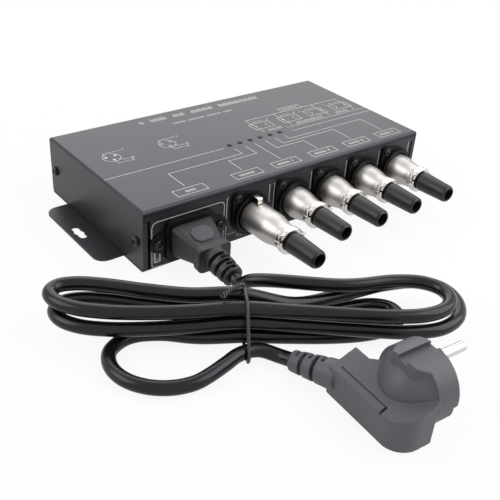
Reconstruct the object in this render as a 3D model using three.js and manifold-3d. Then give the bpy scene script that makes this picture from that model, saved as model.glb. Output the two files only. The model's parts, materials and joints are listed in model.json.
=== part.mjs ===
// Four way data splitter for stage lighting: a folded steel box with one input and four outputs,
// its five plugs in their sockets, and a mains lead folded into a hank in front of it.
// Millimetres, Z up, the front with the sockets faces -Y, the origin is under the middle of the box.

import * as THREE from 'three';
import { mergeVertices } from 'three/addons/utils/BufferGeometryUtils.js';
import Module from 'manifold-3d';

const wasm = await Module();
wasm.setup();

// Clearances and overruns that all pieces share
const fit = 0.3;
const press = 0.1;
const overrun = 2;

// Folded sheet box
const boxLength = 207.5;
const boxDepth = 108;
const boxHeight = 37;
const sheet = 1.2;
const foldRadius = 1.8;
const lipHeight = 2.6;
const returnFlange = 3;
const returnTop = 6.4;
const panelGap = 1.3;
const cornerRelief = 0.9;

// Fixing ears of the tray
const earLength = 66.6;
const earReach = 15.6;
const earCorner = 7;
const earSlotLength = 14.4;
const earSlotWidth = 4.5;
const earSlotEye = 6;
const earSlotInset = 10;

// Side screws of the cover and the tabs that take them
const coverScrewInset = 6.5;
const coverScrewHeight = 17;
const tabWidth = 11;
const tabTop = 24;

// Panel screws, with the share of the head that is dome
const domeShare = 0.55;
const screwRadius = 1.5;
const screwHeadRadius = 2.8;
const screwHeadHeight = 1.7;
const screwReach = 6;

// Sockets on the front, their places measured from the left end of the box
const socketHeight = 17;
const inputPlace = 70.1;
const outputPlace = 101.7;
const outputPitch = 28.94;
const outputMargin = 16;
const outputCount = Math.floor((boxLength - outputPlace - outputMargin) / outputPitch) + 1;
const socketHole = 12;
const socketFlange = 1.8;
const socketRim = 1.7;
const socketRimWall = 1.8;
const socketBarrelDepth = 19;
const socketScrewSide = 9.5;
const socketScrewRise = 12;
const socketLobe = 3.7;
const socketPlate = 13.2;
const lobeSteps = 4;
const plateSteps = 10;

// Three pole contacts
const contactCircle = 4.2;
const contactRadius = 1.2;
const contactBore = 1.55;
const contactAngles = [Math.PI / 6, Math.PI * 5 / 6, Math.PI * 3 / 2];

// Plugs
const engagement = 14.5;
const shellRadius = 9.2;
const shellWall = 1.1;
const shellStepShare = 0.55;
const insertRadius = 7.7;
const outputShellLength = 21.3;
const inputShellLength = 34.2;
const shellRear = 7.5;
const shellTaper = 7.9;
const shellTail = 5.1;
const shellShoulderShare = 0.44;
const shellShoulderDropShare = 0.32;
const shellEyeRadius = 0.8;
const shellEyePlace = 3.6;
const cableBore = 5.2;
const clampLength = 4;
const clampRadius = 8.2;
const clampBevel = 0.8;
const clampSlit = 1;
const clampLugReach = 1.5;
const clampLugHeight = 6.4;
const clampTurn = THREE.MathUtils.degToRad(14);
const clampBoltRadius = 0.9;
const clampBoltHead = 1.6;
const clampBoltRise = 1.3;
const bootRadius = 6.1;
const bootTip = 5.25;
const bootLength = 21.9;
const bootBore = 3.7;
const bootSpigot = 5;
const bootRound = 1.2;
const bootTaperShare = 0.9;
const latchWidth = 3.3;
const latchLength = 5;
const latchTop = 13;
const latchInset = 0.5;
const latchChamfer = 1;
const latchTravel = 1.2;

// Mains inlet and the connector in it
const inletPlace = 28.5;
const inletHeight = 15.9;
const inletScrewSpread = 20;
const inletFlangeLength = 31;
const inletFlangeHeight = 24.4;
const inletFlangeThick = 3;
const inletFlangeCorner = 3.6;
const inletPlateThick = 1.4;
const inletLobe = 5;
const inletCavityLength = 24.6;
const inletCavityHeight = 16.8;
const inletChamfer = 4.6;
const inletWall = 1.6;
const inletDepth = 17;
const inletFloor = 2;
const bladeWidth = 4;
const bladeThick = 2;
const bladeLength = 13.5;
const bladeSpread = 7;
const bladeEarthDrop = 2;
const bladeRise = 1.6;
const gripWidth = 26.4;
const gripHeight = 18.6;
const gripEndWidth = 17.8;
const gripEndHeight = 12;
const gripLength = 17;
const gripDrop = 1.7;
const gripTaperPower = 1.15;
const gripShares = [0, 0.2, 0.4, 0.6, 0.8, 1];
const gripLowerCorner = 3.2;
const gripUpperCorner = 2;
const cornerEaseShare = 0.3;
const gripPadWidth = 12.5;
const gripPadStart = 5.4;
const gripPadLength = 9.6;
const gripPadCorner = 2.6;
const gripPadRise = 0.9;
const collarWidth = 19.4;
const collarHeight = 13.4;
const collarLength = 4.8;
const collarDrop = 2.1;
const collarCorner = 3;
const reliefStart = 7.1;
const reliefEnd = 5.8;
const reliefLength = 18;
const reliefDip = THREE.MathUtils.degToRad(8);
const reliefSlot = 1.6;
const reliefSlots = 3;
const reliefNeckShare = 0.12;
const reliefSlotShare = 0.35;

// Mains lead: its hank is drawn in at the waist, where a tie holds it, and lies in three layers.
// Each fold runs out from the waist and back; the last one to the left lies wide on the ground.
const leadRadius = 3.5;
const leadSides = 6;
const tailSides = 8;
const waistX = -94;
const waistY = -125.5;
const waistTurn = THREE.MathUtils.degToRad(-30);
const columnSpread = 5.6;
const layerStep = 8.1;
const layerStart = 3.6;
const waistRise = 2.3;
const waistRiseReach = 34;
const foldSteps = 12;
const foldOpenShare = 2.6;
const foldSinkShare = 0.1;
const folds = [
  { side: 1, reach: 103, swell: 11, leanShare: 0.02, startShare: 0.2, from: 'back', to: 'fore', top: 2, end: 2 },
  { side: -1, reach: 88, swell: 7, leanShare: 0.16, startShare: 0, from: 'fore', to: 'back', top: 2, end: 2 },
  { side: 1, reach: 111, swell: 17, leanShare: 0.075, startShare: 0, from: 'back', to: 'fore', top: 2, end: 1 },
  { side: -1, reach: 86, swell: 8, leanShare: 0.13, startShare: 0, from: 'fore', to: 'back', top: 1, end: 1 },
  { side: 1, reach: 82, swell: 8, leanShare: 0.12, startShare: 0, from: 'back', to: 'fore', top: 1, end: 0 },
];
const entryStraight = 5;
const entryPull = 10;
const entryClimb = 13;
const entryEase = 18;
const entrySteps = 6;
const wideFold = [
  [0, -5.6], [-20, -3.5], [-38, 1], [-52, -1], [-60.5, -11], [-59, -23], [-51, -32], [-38, -36.5],
  [-24, -35], [-11.5, -27], [-1.5, -18.6], [7.5, -16],
];
const wideFoldSteps = 25;
const tailSteps = 8;
const tailStartShare = 0.87;

// Wire tie round the waist of the hank
const tieRadius = 0.8;
const tieClearance = 0.35;
const tiePlace = 2;
const tieTailAcross = -17.6;
const tieEnd = 9;
const tieLift = 3;
const tieSides = 6;
const tieCornerSteps = 3;

// Angled wall plug on its side: a flat grip, a round shroud with a scoop behind it and two pins.
// Its own frame has X along the pins, Y back towards the lead, and Z up.
const wallPlugX = -87.05;
const wallPlugY = -206;
const wallPlugTurn = THREE.MathUtils.degToRad(-4);
const shroudRadius = 18.2;
const shroudBack = 19;
const shroudFace = 31;
const shroudCore = 11;
const shroudScoop = 13.5;
const scoopSteps = 5;
const gripBack = 28;
const gripFront = -18;
const gripCorner = 11;
const gripThick = 14;
const gripFoot = 1;
const gripLow = 15.5;
const gripHigh = 21;
const gripHighAt = 12;
const gripNeck = 7;
const gripNeckLength = 12;
const wallReliefStart = 7;
const wallReliefEnd = 5;
const wallReliefLength = 23;
const wallReliefX = 4.6;
const wallReliefHeight = 9.2;
const wallReliefTurn = THREE.MathUtils.degToRad(20.5);
const wallReliefDip = THREE.MathUtils.degToRad(-10);
const wallReliefSlots = 3;
const pinRadius = 2.4;
const pinLength = 19;
const pinSpread = 9.5;
const pinRoot = 8;
const guideWidth = 6.4;
const guideDepth = 3.2;
const guideRib = 3;
const earthWidth = 7.5;
const earthDepth = 2;

// Board and what stands on it
const boardSideGap = 11.75;
const boardFrontGap = 24;
const boardRearGap = 12;
const boardThick = 1.6;
const boardHeight = 8;
const standoffRadius = 3;
const standoffInset = 6;
const boardScrewHead = 2.6;
const boardScrewRise = 1.6;
const ledPlace = 87.2;
const ledPitch = 7.9;
const ledBack = 43.8;
const ledCount = 6;
const ledRadius = 1.45;
const ledHole = 1.75;
const ledLength = 4.6;
const ledSpacerWall = 1;
const powerLength = 56;
const powerDepth = 34;
const powerHeadroom = 5.2;
const powerSide = 12;
const powerRear = 5;
const powerRound = 1.5;
const chipLength = 12;
const chipWidth = 7.6;
const chipHeight = 3.6;
const chipFoot = 1.1;
const chipRow = 12;
const chipSide = 8;
const capRadius = 4;
const capHeight = 13;
const capRear = 9;
const capPitch = 12;
const capSide = 10;
const capCount = 2;
const fuseRadius = 2.6;
const fuseLength = 18;
const fuseCap = 5;
const fuseRim = 0.4;
const fuseSide = 16;
const fuseRow = 9;

// Finishes
function finish(color, roughness, metalness) {
  return new THREE.MeshStandardMaterial({ color, roughness, metalness });
}
const blackSheet = finish(0x3b3a40, 0.5, 0.3);
const blackPlastic = finish(0x1c1c1f, 0.45, 0);
const greyRubber = finish(0x44454b, 0.7, 0);
const nickel = finish(0xcfc8c0, 0.25, 0.95);
const blackScrew = finish(0x222226, 0.4, 0.6);
const brass = finish(0xc9a452, 0.3, 0.9);
const boardGreen = finish(0x1d5a38, 0.6, 0);
const cordBlack = finish(0x17181b, 0.3, 0);
const lens = finish(0xdfe3e6, 0.2, 0);

// Derived places
const front = -boxDepth / 2;
const left = -boxLength / 2;
const tapered = THREE.MathUtils.lerp;

// A closed triangle mesh made from any geometry, with its faces pointing out
function closed(geometry) {
  const bare = geometry.index ? geometry.toNonIndexed() : geometry.clone();
  for (const name of Object.keys(bare.attributes)) {
    if (name !== 'position') bare.deleteAttribute(name);
  }
  const merged = mergeVertices(bare, 1e-4);
  const at = merged.attributes.position;
  const index = merged.index.array;
  const kept = [];
  let volume = 0;
  for (let i = 0; i < index.length; i += 3) {
    const [a, b, c] = [index[i], index[i + 1], index[i + 2]];
    if (a === b || b === c || c === a) continue;
    kept.push(a, b, c);
    const p = new THREE.Vector3().fromBufferAttribute(at, a);
    const q = new THREE.Vector3().fromBufferAttribute(at, b);
    const r = new THREE.Vector3().fromBufferAttribute(at, c);
    volume += p.dot(q.cross(r));
  }
  if (volume < 0) kept.reverse();
  merged.setIndex(kept);
  return merged;
}

function toSolid(geometry) {
  const body = closed(geometry);
  return new wasm.Manifold(new wasm.Mesh({
    numProp: 3,
    vertProperties: new Float32Array(body.attributes.position.array),
    triVerts: new Uint32Array(body.index.array),
  }));
}

function toGeometry(solid) {
  const mesh = solid.getMesh();
  const geometry = new THREE.BufferGeometry();
  geometry.setAttribute('position', new THREE.BufferAttribute(new Float32Array(mesh.vertProperties), 3));
  geometry.setIndex(new THREE.BufferAttribute(new Uint32Array(mesh.triVerts), 1));
  return geometry;
}

function join(...parts) {
  return toGeometry(parts.map(toSolid).reduce((sum, part) => sum.add(part)));
}

function cut(body, ...tools) {
  return toGeometry(tools.map(toSolid).reduce((rest, tool) => rest.subtract(tool), toSolid(body)));
}

function common(a, b) {
  return toGeometry(toSolid(a).intersect(toSolid(b)));
}

function block(x0, x1, y0, y1, z0, z1) {
  const geometry = new THREE.BoxGeometry(x1 - x0, y1 - y0, z1 - z0);
  return geometry.translate((x0 + x1) / 2, (y0 + y1) / 2, (z0 + z1) / 2);
}

function rounded(x0, x1, y0, y1, radius) {
  const shape = new THREE.Shape();
  shape.moveTo(x0 + radius, y0);
  shape.lineTo(x1 - radius, y0);
  shape.absarc(x1 - radius, y0 + radius, radius, -Math.PI / 2, 0);
  shape.lineTo(x1, y1 - radius);
  shape.absarc(x1 - radius, y1 - radius, radius, 0, Math.PI / 2);
  shape.lineTo(x0 + radius, y1);
  shape.absarc(x0 + radius, y1 - radius, radius, Math.PI / 2, Math.PI);
  shape.lineTo(x0, y0 + radius);
  shape.absarc(x0 + radius, y0 + radius, radius, Math.PI, Math.PI * 3 / 2);
  return shape;
}

// A plate with its outline in X and Y, from one height to another
function plate(shape, z0, z1, curveSegments = 6) {
  const geometry = new THREE.ExtrudeGeometry(shape, { depth: z1 - z0, bevelEnabled: false, curveSegments });
  return geometry.translate(0, 0, z0);
}

// A profile drawn in X and Z, run from one Y to another
function alongY(shape, y0, y1, curveSegments = 6) {
  return plate(shape, -y1, -y0, curveSegments).rotateX(Math.PI / 2);
}

// A profile drawn in Y and Z, run from one X to another
function alongX(shape, x0, x1, curveSegments = 6) {
  return plate(shape, x0, x1, curveSegments).rotateY(Math.PI / 2).rotateX(Math.PI / 2);
}

// A revolve whose profile gives radius and distance out of the front
function turned(profile, segments = 20) {
  const points = profile.map(([radius, out]) => new THREE.Vector2(radius, -out));
  return new THREE.LatheGeometry([...points, points[0]], segments).translate(0, front, 0);
}

function rod(radius, out0, out1, segments = 12) {
  return turned([[0, out0], [radius, out0], [radius, out1], [0, out1]], segments);
}

// An upright turned piece
function upright(profile, segments = 12) {
  const points = profile.map(([radius, z]) => new THREE.Vector2(radius, z));
  return new THREE.LatheGeometry([...points, points[0]], segments).rotateX(Math.PI / 2);
}

// A screw that points into the front: a dome and a shank
function panelScrew(seat, reach, radius = screwRadius) {
  return turned([
    [0, seat + screwHeadHeight],
    [screwHeadRadius * domeShare, seat + screwHeadHeight],
    [screwHeadRadius, seat + screwHeadHeight * (1 - domeShare)],
    [screwHeadRadius, seat],
    [radius, seat],
    [radius, seat - reach],
    [0, seat - reach],
  ], 10);
}

// Box: everything inside the outer skin, folded over at its upper edges
function foldedBlock(inset, bottom) {
  const halfLength = boxLength / 2 - inset;
  const halfDepth = boxDepth / 2 - inset;
  const top = boxHeight - inset;
  const radius = Math.max(foldRadius - inset, sheet / 2);
  const arch = (half) => {
    const shape = new THREE.Shape();
    shape.moveTo(-half, bottom);
    shape.lineTo(half, bottom);
    shape.lineTo(half, top - radius);
    shape.absarc(half - radius, top - radius, radius, 0, Math.PI / 2);
    shape.lineTo(-half + radius, top);
    shape.absarc(-half + radius, top - radius, radius, Math.PI / 2, Math.PI);
    return shape;
  };
  return common(
    alongY(arch(halfLength), -halfDepth, halfDepth, 3),
    alongX(arch(halfDepth), -halfLength, halfLength, 3),
  );
}

function ledHoles() {
  const holes = [];
  for (let i = 0; i < ledCount; i++) {
    const x = left + ledPlace + i * ledPitch;
    const hole = upright([[0, boxHeight - overrun * 2], [ledHole, boxHeight - overrun * 2],
      [ledHole, boxHeight + overrun], [0, boxHeight + overrun]], 12);
    holes.push(hole.translate(x, front + ledBack, 0));
  }
  return holes;
}

const sideScrewPlaces = [-1, 1].flatMap((end) => [-1, 1].map((side) => ({
  end,
  side,
  y: end * (boxDepth / 2 - coverScrewInset),
})));

// A hole through one side wall at the height of the cover screws
function sideHole({ side, y }, radius) {
  const length = screwReach + overrun;
  const hole = new THREE.CylinderGeometry(radius, radius, length, 10).rotateZ(Math.PI / 2);
  return hole.translate(side * (boxLength / 2 - sheet), y, coverScrewHeight);
}

function topCover() {
  const shell = cut(foldedBlock(0, sheet + fit), foldedBlock(sheet, -overrun));
  const openings = [];
  for (const end of [-1, 1]) {
    const y0 = Math.min(end * (boxDepth / 2 + overrun), end * (boxDepth / 2 - sheet));
    const y1 = Math.max(end * (boxDepth / 2 + overrun), end * (boxDepth / 2 - sheet));
    const inner = boxLength / 2 - returnFlange;
    const wide = boxLength / 2 - sheet;
    openings.push(block(-inner, inner, y0, y1, -overrun, boxHeight - lipHeight));
    openings.push(block(-wide, wide, y0, y1, boxHeight - returnTop, boxHeight - lipHeight));
    for (const side of [-1, 1]) {
      const x = side * (boxLength / 2 - foldRadius);
      openings.push(block(x - cornerRelief / 2, x + cornerRelief / 2, y0, y1,
        boxHeight - returnTop, boxHeight - foldRadius));
    }
  }
  const holes = sideScrewPlaces.map((place) => sideHole(place, screwRadius + fit));
  return cut(shell, ...openings, ...holes, ...ledHoles());
}

// Tray: floor with the front and back folded up, cut for the sockets, with an ear at each end
function earSlot() {
  const half = earSlotLength / 2 - earSlotWidth / 2;
  const r = earSlotWidth / 2;
  const shape = new THREE.Shape();
  shape.moveTo(r, -half);
  shape.lineTo(r, half);
  shape.absarc(0, half, r, 0, Math.PI);
  shape.lineTo(-r, -half);
  shape.absarc(0, -half, r, Math.PI, Math.PI * 2);
  return shape;
}

function earPlate() {
  const reach = boxLength / 2 + earReach;
  const outline = rounded(-reach, reach, -earLength / 2, earLength / 2, earCorner);
  const slots = [-1, 1].flatMap((side) => {
    const x = side * (boxLength / 2 + earSlotInset);
    const eye = upright([[0, -overrun], [earSlotEye / 2, -overrun],
      [earSlotEye / 2, sheet + overrun], [0, sheet + overrun]], 12);
    return [
      plate(earSlot(), -overrun, sheet + overrun, 4).translate(x, 0, 0),
      eye.translate(x, 0, 0),
    ];
  });
  return cut(plate(outline, 0, sheet, 5), ...slots);
}

function foldedFloor() {
  const half = boxDepth / 2;
  const top = boxHeight - lipHeight - fit;
  const inner = foldRadius - sheet;
  const shape = new THREE.Shape();
  shape.moveTo(-half + foldRadius, 0);
  shape.lineTo(half - foldRadius, 0);
  shape.absarc(half - foldRadius, foldRadius, foldRadius, -Math.PI / 2, 0);
  shape.lineTo(half, top);
  shape.lineTo(half - sheet, top);
  shape.lineTo(half - sheet, foldRadius);
  shape.absarc(half - foldRadius, foldRadius, inner, 0, -Math.PI / 2, true);
  shape.lineTo(-half + foldRadius, sheet);
  shape.absarc(-half + foldRadius, foldRadius, inner, -Math.PI / 2, -Math.PI, true);
  shape.lineTo(-half + sheet, top);
  shape.lineTo(-half, top);
  shape.lineTo(-half, foldRadius);
  shape.absarc(-half + foldRadius, foldRadius, foldRadius, Math.PI, Math.PI * 3 / 2);
  return alongX(shape, -boxLength / 2, boxLength / 2, 3);
}

// The walls stop short of the cover's side flanges and reach behind its sides above them
function wallEnds() {
  const cuts = [];
  for (const side of [-1, 1]) {
    const low = side * (boxLength / 2 - returnFlange - panelGap);
    const high = side * (boxLength / 2 - sheet - fit);
    const out = side * (boxLength / 2 + overrun);
    const lowCut = [Math.min(low, out), Math.max(low, out)];
    const highCut = [Math.min(high, out), Math.max(high, out)];
    const y = boxDepth / 2 + overrun;
    cuts.push(block(...lowCut, -y, y, sheet, boxHeight - returnTop + fit));
    cuts.push(block(...highCut, -y, y, sheet, boxHeight));
  }
  return cuts;
}

function socketPlaces() {
  const places = [inputPlace];
  for (let i = 0; i < outputCount; i++) places.push(outputPlace + i * outputPitch);
  return places.map((place) => left + place);
}

// The two fixing screws of a round socket lie on one diagonal
const socketScrews = [[-socketScrewSide, socketScrewRise], [socketScrewSide, -socketScrewRise]];

function inletOutline(grow) {
  const w = inletCavityLength / 2 + grow;
  const h = inletCavityHeight / 2 + grow;
  const c = inletChamfer;
  const shape = new THREE.Shape();
  shape.moveTo(-w + c, -h);
  shape.lineTo(w - c, -h);
  shape.lineTo(w, -h + c);
  shape.lineTo(w, h);
  shape.lineTo(-w, h);
  shape.lineTo(-w, -h + c);
  return shape;
}

function frontHoles() {
  const holes = [];
  for (const x of socketPlaces()) {
    holes.push(rod(socketHole + fit, -sheet - overrun, overrun, 20).translate(x, 0, socketHeight));
    for (const [dx, dz] of socketScrews) {
      holes.push(rod(screwRadius + fit, -sheet - overrun, overrun, 8).translate(x + dx, 0, socketHeight + dz));
    }
  }
  const x = left + inletPlace;
  const inlet = alongY(inletOutline(inletWall + fit), front - overrun, front + sheet + overrun);
  holes.push(inlet.translate(x, 0, inletHeight));
  for (const side of [-1, 1]) {
    const hole = rod(screwRadius + fit, -sheet - overrun, overrun, 8);
    holes.push(hole.translate(x + side * inletScrewSpread, 0, inletHeight));
  }
  return holes;
}

function coverTabs() {
  return sideScrewPlaces.map(({ side, y }) => {
    const outer = side * (boxLength / 2 - sheet - fit);
    const inner = outer - side * sheet;
    return block(Math.min(outer, inner), Math.max(outer, inner), y - tabWidth / 2, y + tabWidth / 2,
      sheet / 2, tabTop);
  });
}

function baseTray() {
  const inset = boxDepth / 2 - sheet - fit;
  const tabs = join(...coverTabs().map((tab) => common(tab, block(-boxLength, boxLength, -inset, inset,
    0, boxHeight))));
  const walls = cut(foldedFloor(), ...wallEnds(), ...frontHoles());
  const holes = sideScrewPlaces.map((place) => sideHole(place, screwRadius + fit));
  return cut(join(walls, earPlate(), tabs), ...holes);
}

function coverScrews() {
  return sideScrewPlaces.map(({ end, side, y }) => {
    const screw = panelScrew(fit, screwReach).translate(0, -front, 0);
    screw.rotateZ(side * Math.PI / 2).translate(side * boxLength / 2, y, coverScrewHeight);
    return [`cover_screw_${end < 0 ? 'front' : 'back'}_${side < 0 ? 'left' : 'right'}`, screw];
  });
}

// Round sockets: a plate with a lobe for each screw, a raised rim and a barrel behind the panel
function socketPlateOutline() {
  const points = [];
  for (const [dx, dz] of socketScrews) {
    const facing = Math.atan2(dz, dx);
    const spread = Math.acos((socketPlate - socketLobe) / Math.hypot(dx, dz));
    for (let i = 0; i <= lobeSteps; i++) {
      const a = facing + tapered(-spread, spread, i / lobeSteps);
      points.push(new THREE.Vector2(dx + socketLobe * Math.cos(a), dz + socketLobe * Math.sin(a)));
    }
    for (let i = 1; i < plateSteps; i++) {
      const a = tapered(facing + spread, facing + Math.PI - spread, i / plateSteps);
      points.push(new THREE.Vector2(socketPlate * Math.cos(a), socketPlate * Math.sin(a)));
    }
  }
  return new THREE.Shape(points);
}

function contactHoles(radius, out0, out1) {
  return contactAngles.map((angle) => rod(radius, out0, out1, 8).translate(
    contactCircle * Math.cos(angle), 0, contactCircle * Math.sin(angle)));
}

function socketBody(bore) {
  const rim = socketFlange + socketRim;
  const outline = alongY(socketPlateOutline(), front - socketFlange, front);
  const barrel = turned([
    [0, -socketBarrelDepth], [socketHole, -socketBarrelDepth], [socketHole, rim],
    [socketHole - socketRimWall, rim], [bore, socketFlange],
    [bore, -engagement - fit], [0, -engagement - fit],
  ], 20);
  const screwHoles = socketScrews.map(([dx, dz]) => rod(screwRadius + fit, -overrun,
    socketFlange + overrun, 8).translate(dx, 0, dz));
  const cup = rod(bore, -engagement - fit, socketFlange + overrun, 20);
  return { body: cut(join(outline, barrel), cup), screwHoles };
}

function outputSocket() {
  const { body, screwHoles } = socketBody(shellRadius + fit);
  const core = rod(insertRadius, -engagement - overrun, fit, 16);
  const bores = contactHoles(contactBore, -engagement, overrun);
  return cut(join(body, core), ...bores, ...screwHoles);
}

function inputSocket() {
  const { body, screwHoles } = socketBody(insertRadius + fit + press);
  const pins = contactHoles(contactRadius, -engagement - overrun, -fit);
  return join(cut(body, ...screwHoles), ...pins);
}

// The outside of a shell: straight, then drawn in over a rounded shoulder to a straight tail
function shellSides(start, length) {
  const rear = length - shellTail;
  const fore = rear - shellTaper;
  return [
    [shellRadius, start],
    [shellRadius, fore],
    [tapered(shellRadius, shellRear, shellShoulderDropShare), tapered(fore, rear, shellShoulderShare)],
    [shellRear, rear],
    [shellRear, length],
  ];
}

// Plug for an output: the shell slides over the socket's core, its pins go into the core
function outputShell() {
  const inner = shellRadius - shellWall;
  const step = outputShellLength * shellStepShare;
  const shell = turned([
    [inner, -engagement], ...shellSides(-engagement, outputShellLength),
    [cableBore, outputShellLength], [cableBore, step + shellWall], [inner - shellWall, step], [inner, step - shellWall],
  ], 20);
  const eye = new THREE.CylinderGeometry(shellEyeRadius, shellEyeRadius, shellWall * 4, 10).rotateX(Math.PI / 2);
  return cut(shell, eye.translate(0, front - shellEyePlace, shellRadius));
}

function boredInsert(out0, out1) {
  const body = rod(insertRadius, out0, out1, 16);
  return cut(body, ...contactHoles(contactBore, out0 - overrun, out1 - overrun));
}

const outputInsertEnd = outputShellLength * shellStepShare - shellWall - fit;

// The insert of an output plug, with its three pins standing in the socket
function pinInsert(out0, out1) {
  const body = rod(shellRadius - shellWall - press, out0, out1, 16);
  return join(body, ...contactHoles(contactRadius, -engagement + overrun, out0 + fit));
}

// Plug for the input: its nose goes into the cup, and a latch rides in a slot on top
function inputShell() {
  const nose = insertRadius + fit + press;
  const shoulder = socketFlange + socketRim + fit;
  const body = turned([
    [insertRadius + press, shoulder], ...shellSides(shoulder, inputShellLength),
    [cableBore, inputShellLength], [cableBore, inputShellLength * shellStepShare],
    [insertRadius + press, inputShellLength * shellStepShare],
  ], 20);
  const half = latchWidth / 2 + fit;
  const y = front - shoulder;
  const slot = block(-half, half, y - latchInset - latchLength - fit, y + overrun, nose, shellRadius + overrun);
  return cut(body, slot);
}

function inputLatch() {
  const shoulder = socketFlange + socketRim + fit;
  const y = front - shoulder - latchInset;
  const foot = insertRadius + press + latchTravel + fit;
  const half = latchWidth / 2;
  const profile = new THREE.Shape();
  profile.moveTo(0, foot);
  profile.lineTo(latchLength, foot);
  profile.lineTo(latchLength, latchTop);
  profile.lineTo(latchChamfer, latchTop);
  profile.lineTo(0, latchTop - latchChamfer);
  return alongX(profile, -half, half).translate(0, y - latchLength, 0);
}

// Collar that grips the cable, split on one side, with a screw through each of its two lugs
function clampCollar(start) {
  const out0 = start + fit;
  const out1 = start + clampLength;
  const reach = clampRadius + clampLugReach;
  const half = clampLugHeight / 2;
  const ring = turned([
    [cableBore, out0], [clampRadius, out0], [clampRadius, out1 - clampBevel],
    [clampRadius - clampBevel, out1], [cableBore, out1],
  ], 20);
  const lugs = cut(
    block(-reach, reach, front - out1 + clampBevel, front - out0, -half, half),
    rod(clampRadius - clampBevel, out0 - overrun, out1 + overrun, 20),
  );
  const slit = block(-reach - overrun, 0, front - out1 - overrun, front - out0 + overrun,
    -clampSlit / 2, clampSlit / 2);
  const screws = [-1, 1].map((side) => {
    const length = clampLugHeight + clampBoltRise;
    const shank = new THREE.CylinderGeometry(clampBoltRadius, clampBoltRadius, length, 8);
    const head = new THREE.CylinderGeometry(clampBoltHead, clampBoltHead, clampBoltRise, 10);
    const screw = join(shank.translate(0, clampBoltRise / 2, 0), head.translate(0, half + clampBoltRise / 2, 0));
    return screw.rotateX(Math.PI / 2).translate(side * clampRadius, front - (out0 + out1 - clampBevel) / 2, 0);
  });
  return join(cut(join(ring, lugs), slit), ...screws).rotateY(clampTurn);
}

function boot(start) {
  const end = start + clampLength + fit;
  const tip = end + bootLength;
  return turned([
    [bootBore, end - bootSpigot], [cableBore - fit, end - bootSpigot], [cableBore - fit, end],
    [bootRadius - bootRound / 2, end], [bootRadius, end + bootRound],
    [tapered(bootRadius, bootTip, bootTaperShare), tip - bootRound],
    [bootTip - bootRound, tip], [bootBore, tip],
  ], 16);
}

// Mains inlet: a thin plate with a lobe for each screw, a raised frame, and a cup with three blades
function inletLobes() {
  const w = inletFlangeLength / 2 - inletFlangeCorner;
  const h = inletFlangeHeight / 2 - inletFlangeCorner;
  const shape = new THREE.Shape();
  shape.moveTo(w, -h);
  shape.absarc(inletScrewSpread, 0, inletLobe, -Math.PI / 3, Math.PI / 3);
  shape.lineTo(w, h);
  shape.lineTo(-w, h);
  shape.absarc(-inletScrewSpread, 0, inletLobe, Math.PI * 2 / 3, Math.PI * 4 / 3);
  shape.lineTo(-w, -h);
  return shape;
}

function inletBody() {
  const w = inletFlangeLength / 2;
  const h = inletFlangeHeight / 2;
  const frame = alongY(rounded(-w, w, -h, h, inletFlangeCorner), front - inletFlangeThick, front, 3);
  const flange = join(frame, alongY(inletLobes(), front - inletPlateThick, front));
  const cup = alongY(inletOutline(inletWall), front - inletFlangeThick, front + inletDepth);
  const cavity = alongY(inletOutline(0), front - inletFlangeThick - overrun,
    front + inletDepth - inletFloor);
  const screwHoles = [-1, 1].map((side) => rod(screwRadius + fit, -overrun,
    inletPlateThick + overrun, 8).translate(side * inletScrewSpread, 0, 0));
  const seats = bladeBlocks(press, front + inletDepth - inletFloor - overrun, front + inletDepth + overrun);
  return cut(join(flange, cup), cavity, ...screwHoles, ...seats);
}

function bladeBlocks(grow, y0, y1) {
  return [-1, 0, 1].map((side) => {
    const x = side * bladeSpread;
    const z = side === 0 ? -bladeEarthDrop : bladeRise;
    return block(x - bladeThick / 2 - grow, x + bladeThick / 2 + grow, y0, y1,
      z - bladeWidth / 2 - grow, z + bladeWidth / 2 + grow);
  });
}

function inletBlade(side) {
  const floor = front + inletDepth - inletFloor;
  return bladeBlocks(0, floor - bladeLength, front + inletDepth + inletFloor)[side + 1];
}

// A rectangle with its corners taken off, wider cuts below than above
function corneredOutline(width, height, lower, upper) {
  const w = width / 2;
  const h = height / 2;
  const [a, b] = [lower * cornerEaseShare, upper * cornerEaseShare];
  return [
    [-w + lower, -h], [w - lower, -h], [w - a, -h + a], [w, -h + lower],
    [w, h - upper], [w - b, h - b], [w - upper, h], [-w + upper, h],
    [-w + b, h - b], [-w, h - upper], [-w, -h + lower], [-w + a, -h + a],
  ];
}

// A closed body through outlines with as many corners each, every one at its own distance out
function loft(sections) {
  const count = sections[0].outline.length;
  const vertices = sections.flatMap(({ outline, out, drop }) => (
    outline.flatMap(([x, z]) => [x, front - out, z - drop])));
  const faces = [];
  for (let start = count; start < sections.length * count; start += count) {
    for (let k = 0; k < count; k++) {
      const [p, q] = [start + k, start + (k + 1) % count];
      faces.push(p, q, p - count, q, q - count, p - count);
    }
  }
  const last = (sections.length - 1) * count;
  for (let k = 1; k < count - 1; k++) faces.push(0, k, k + 1, last, last + k + 1, last + k);
  const geometry = new THREE.BufferGeometry();
  geometry.setAttribute('position', new THREE.Float32BufferAttribute(vertices, 3));
  return geometry.setIndex(faces);
}

// A taper round the cord with slots left and right in turn, over a solid core
function strainRelief({ from, start, end, length, slots }) {
  const neck = length * reliefNeckShare;
  const taper = turned([
    [0, from], [start, from], [start, from + neck], [end, from + length], [0, from + length],
  ], 16);
  const step = (length - neck) / slots;
  const core = rod(end * (1 - reliefSlotShare / 2), from - overrun, from + length + overrun, 12);
  const cuts = [];
  for (let i = 0; i < slots * 2 - 1; i++) {
    const y = front - from - neck - (i + reliefSlotShare * 2) * step / 2;
    const [x0, x1] = i % 2 ? [-end * reliefSlotShare, start * 2] : [-start * 2, end * reliefSlotShare];
    cuts.push(cut(block(x0, x1, y - reliefSlot, y, -start * 2, start * 2), core));
  }
  return cut(taper, ...cuts);
}

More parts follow.
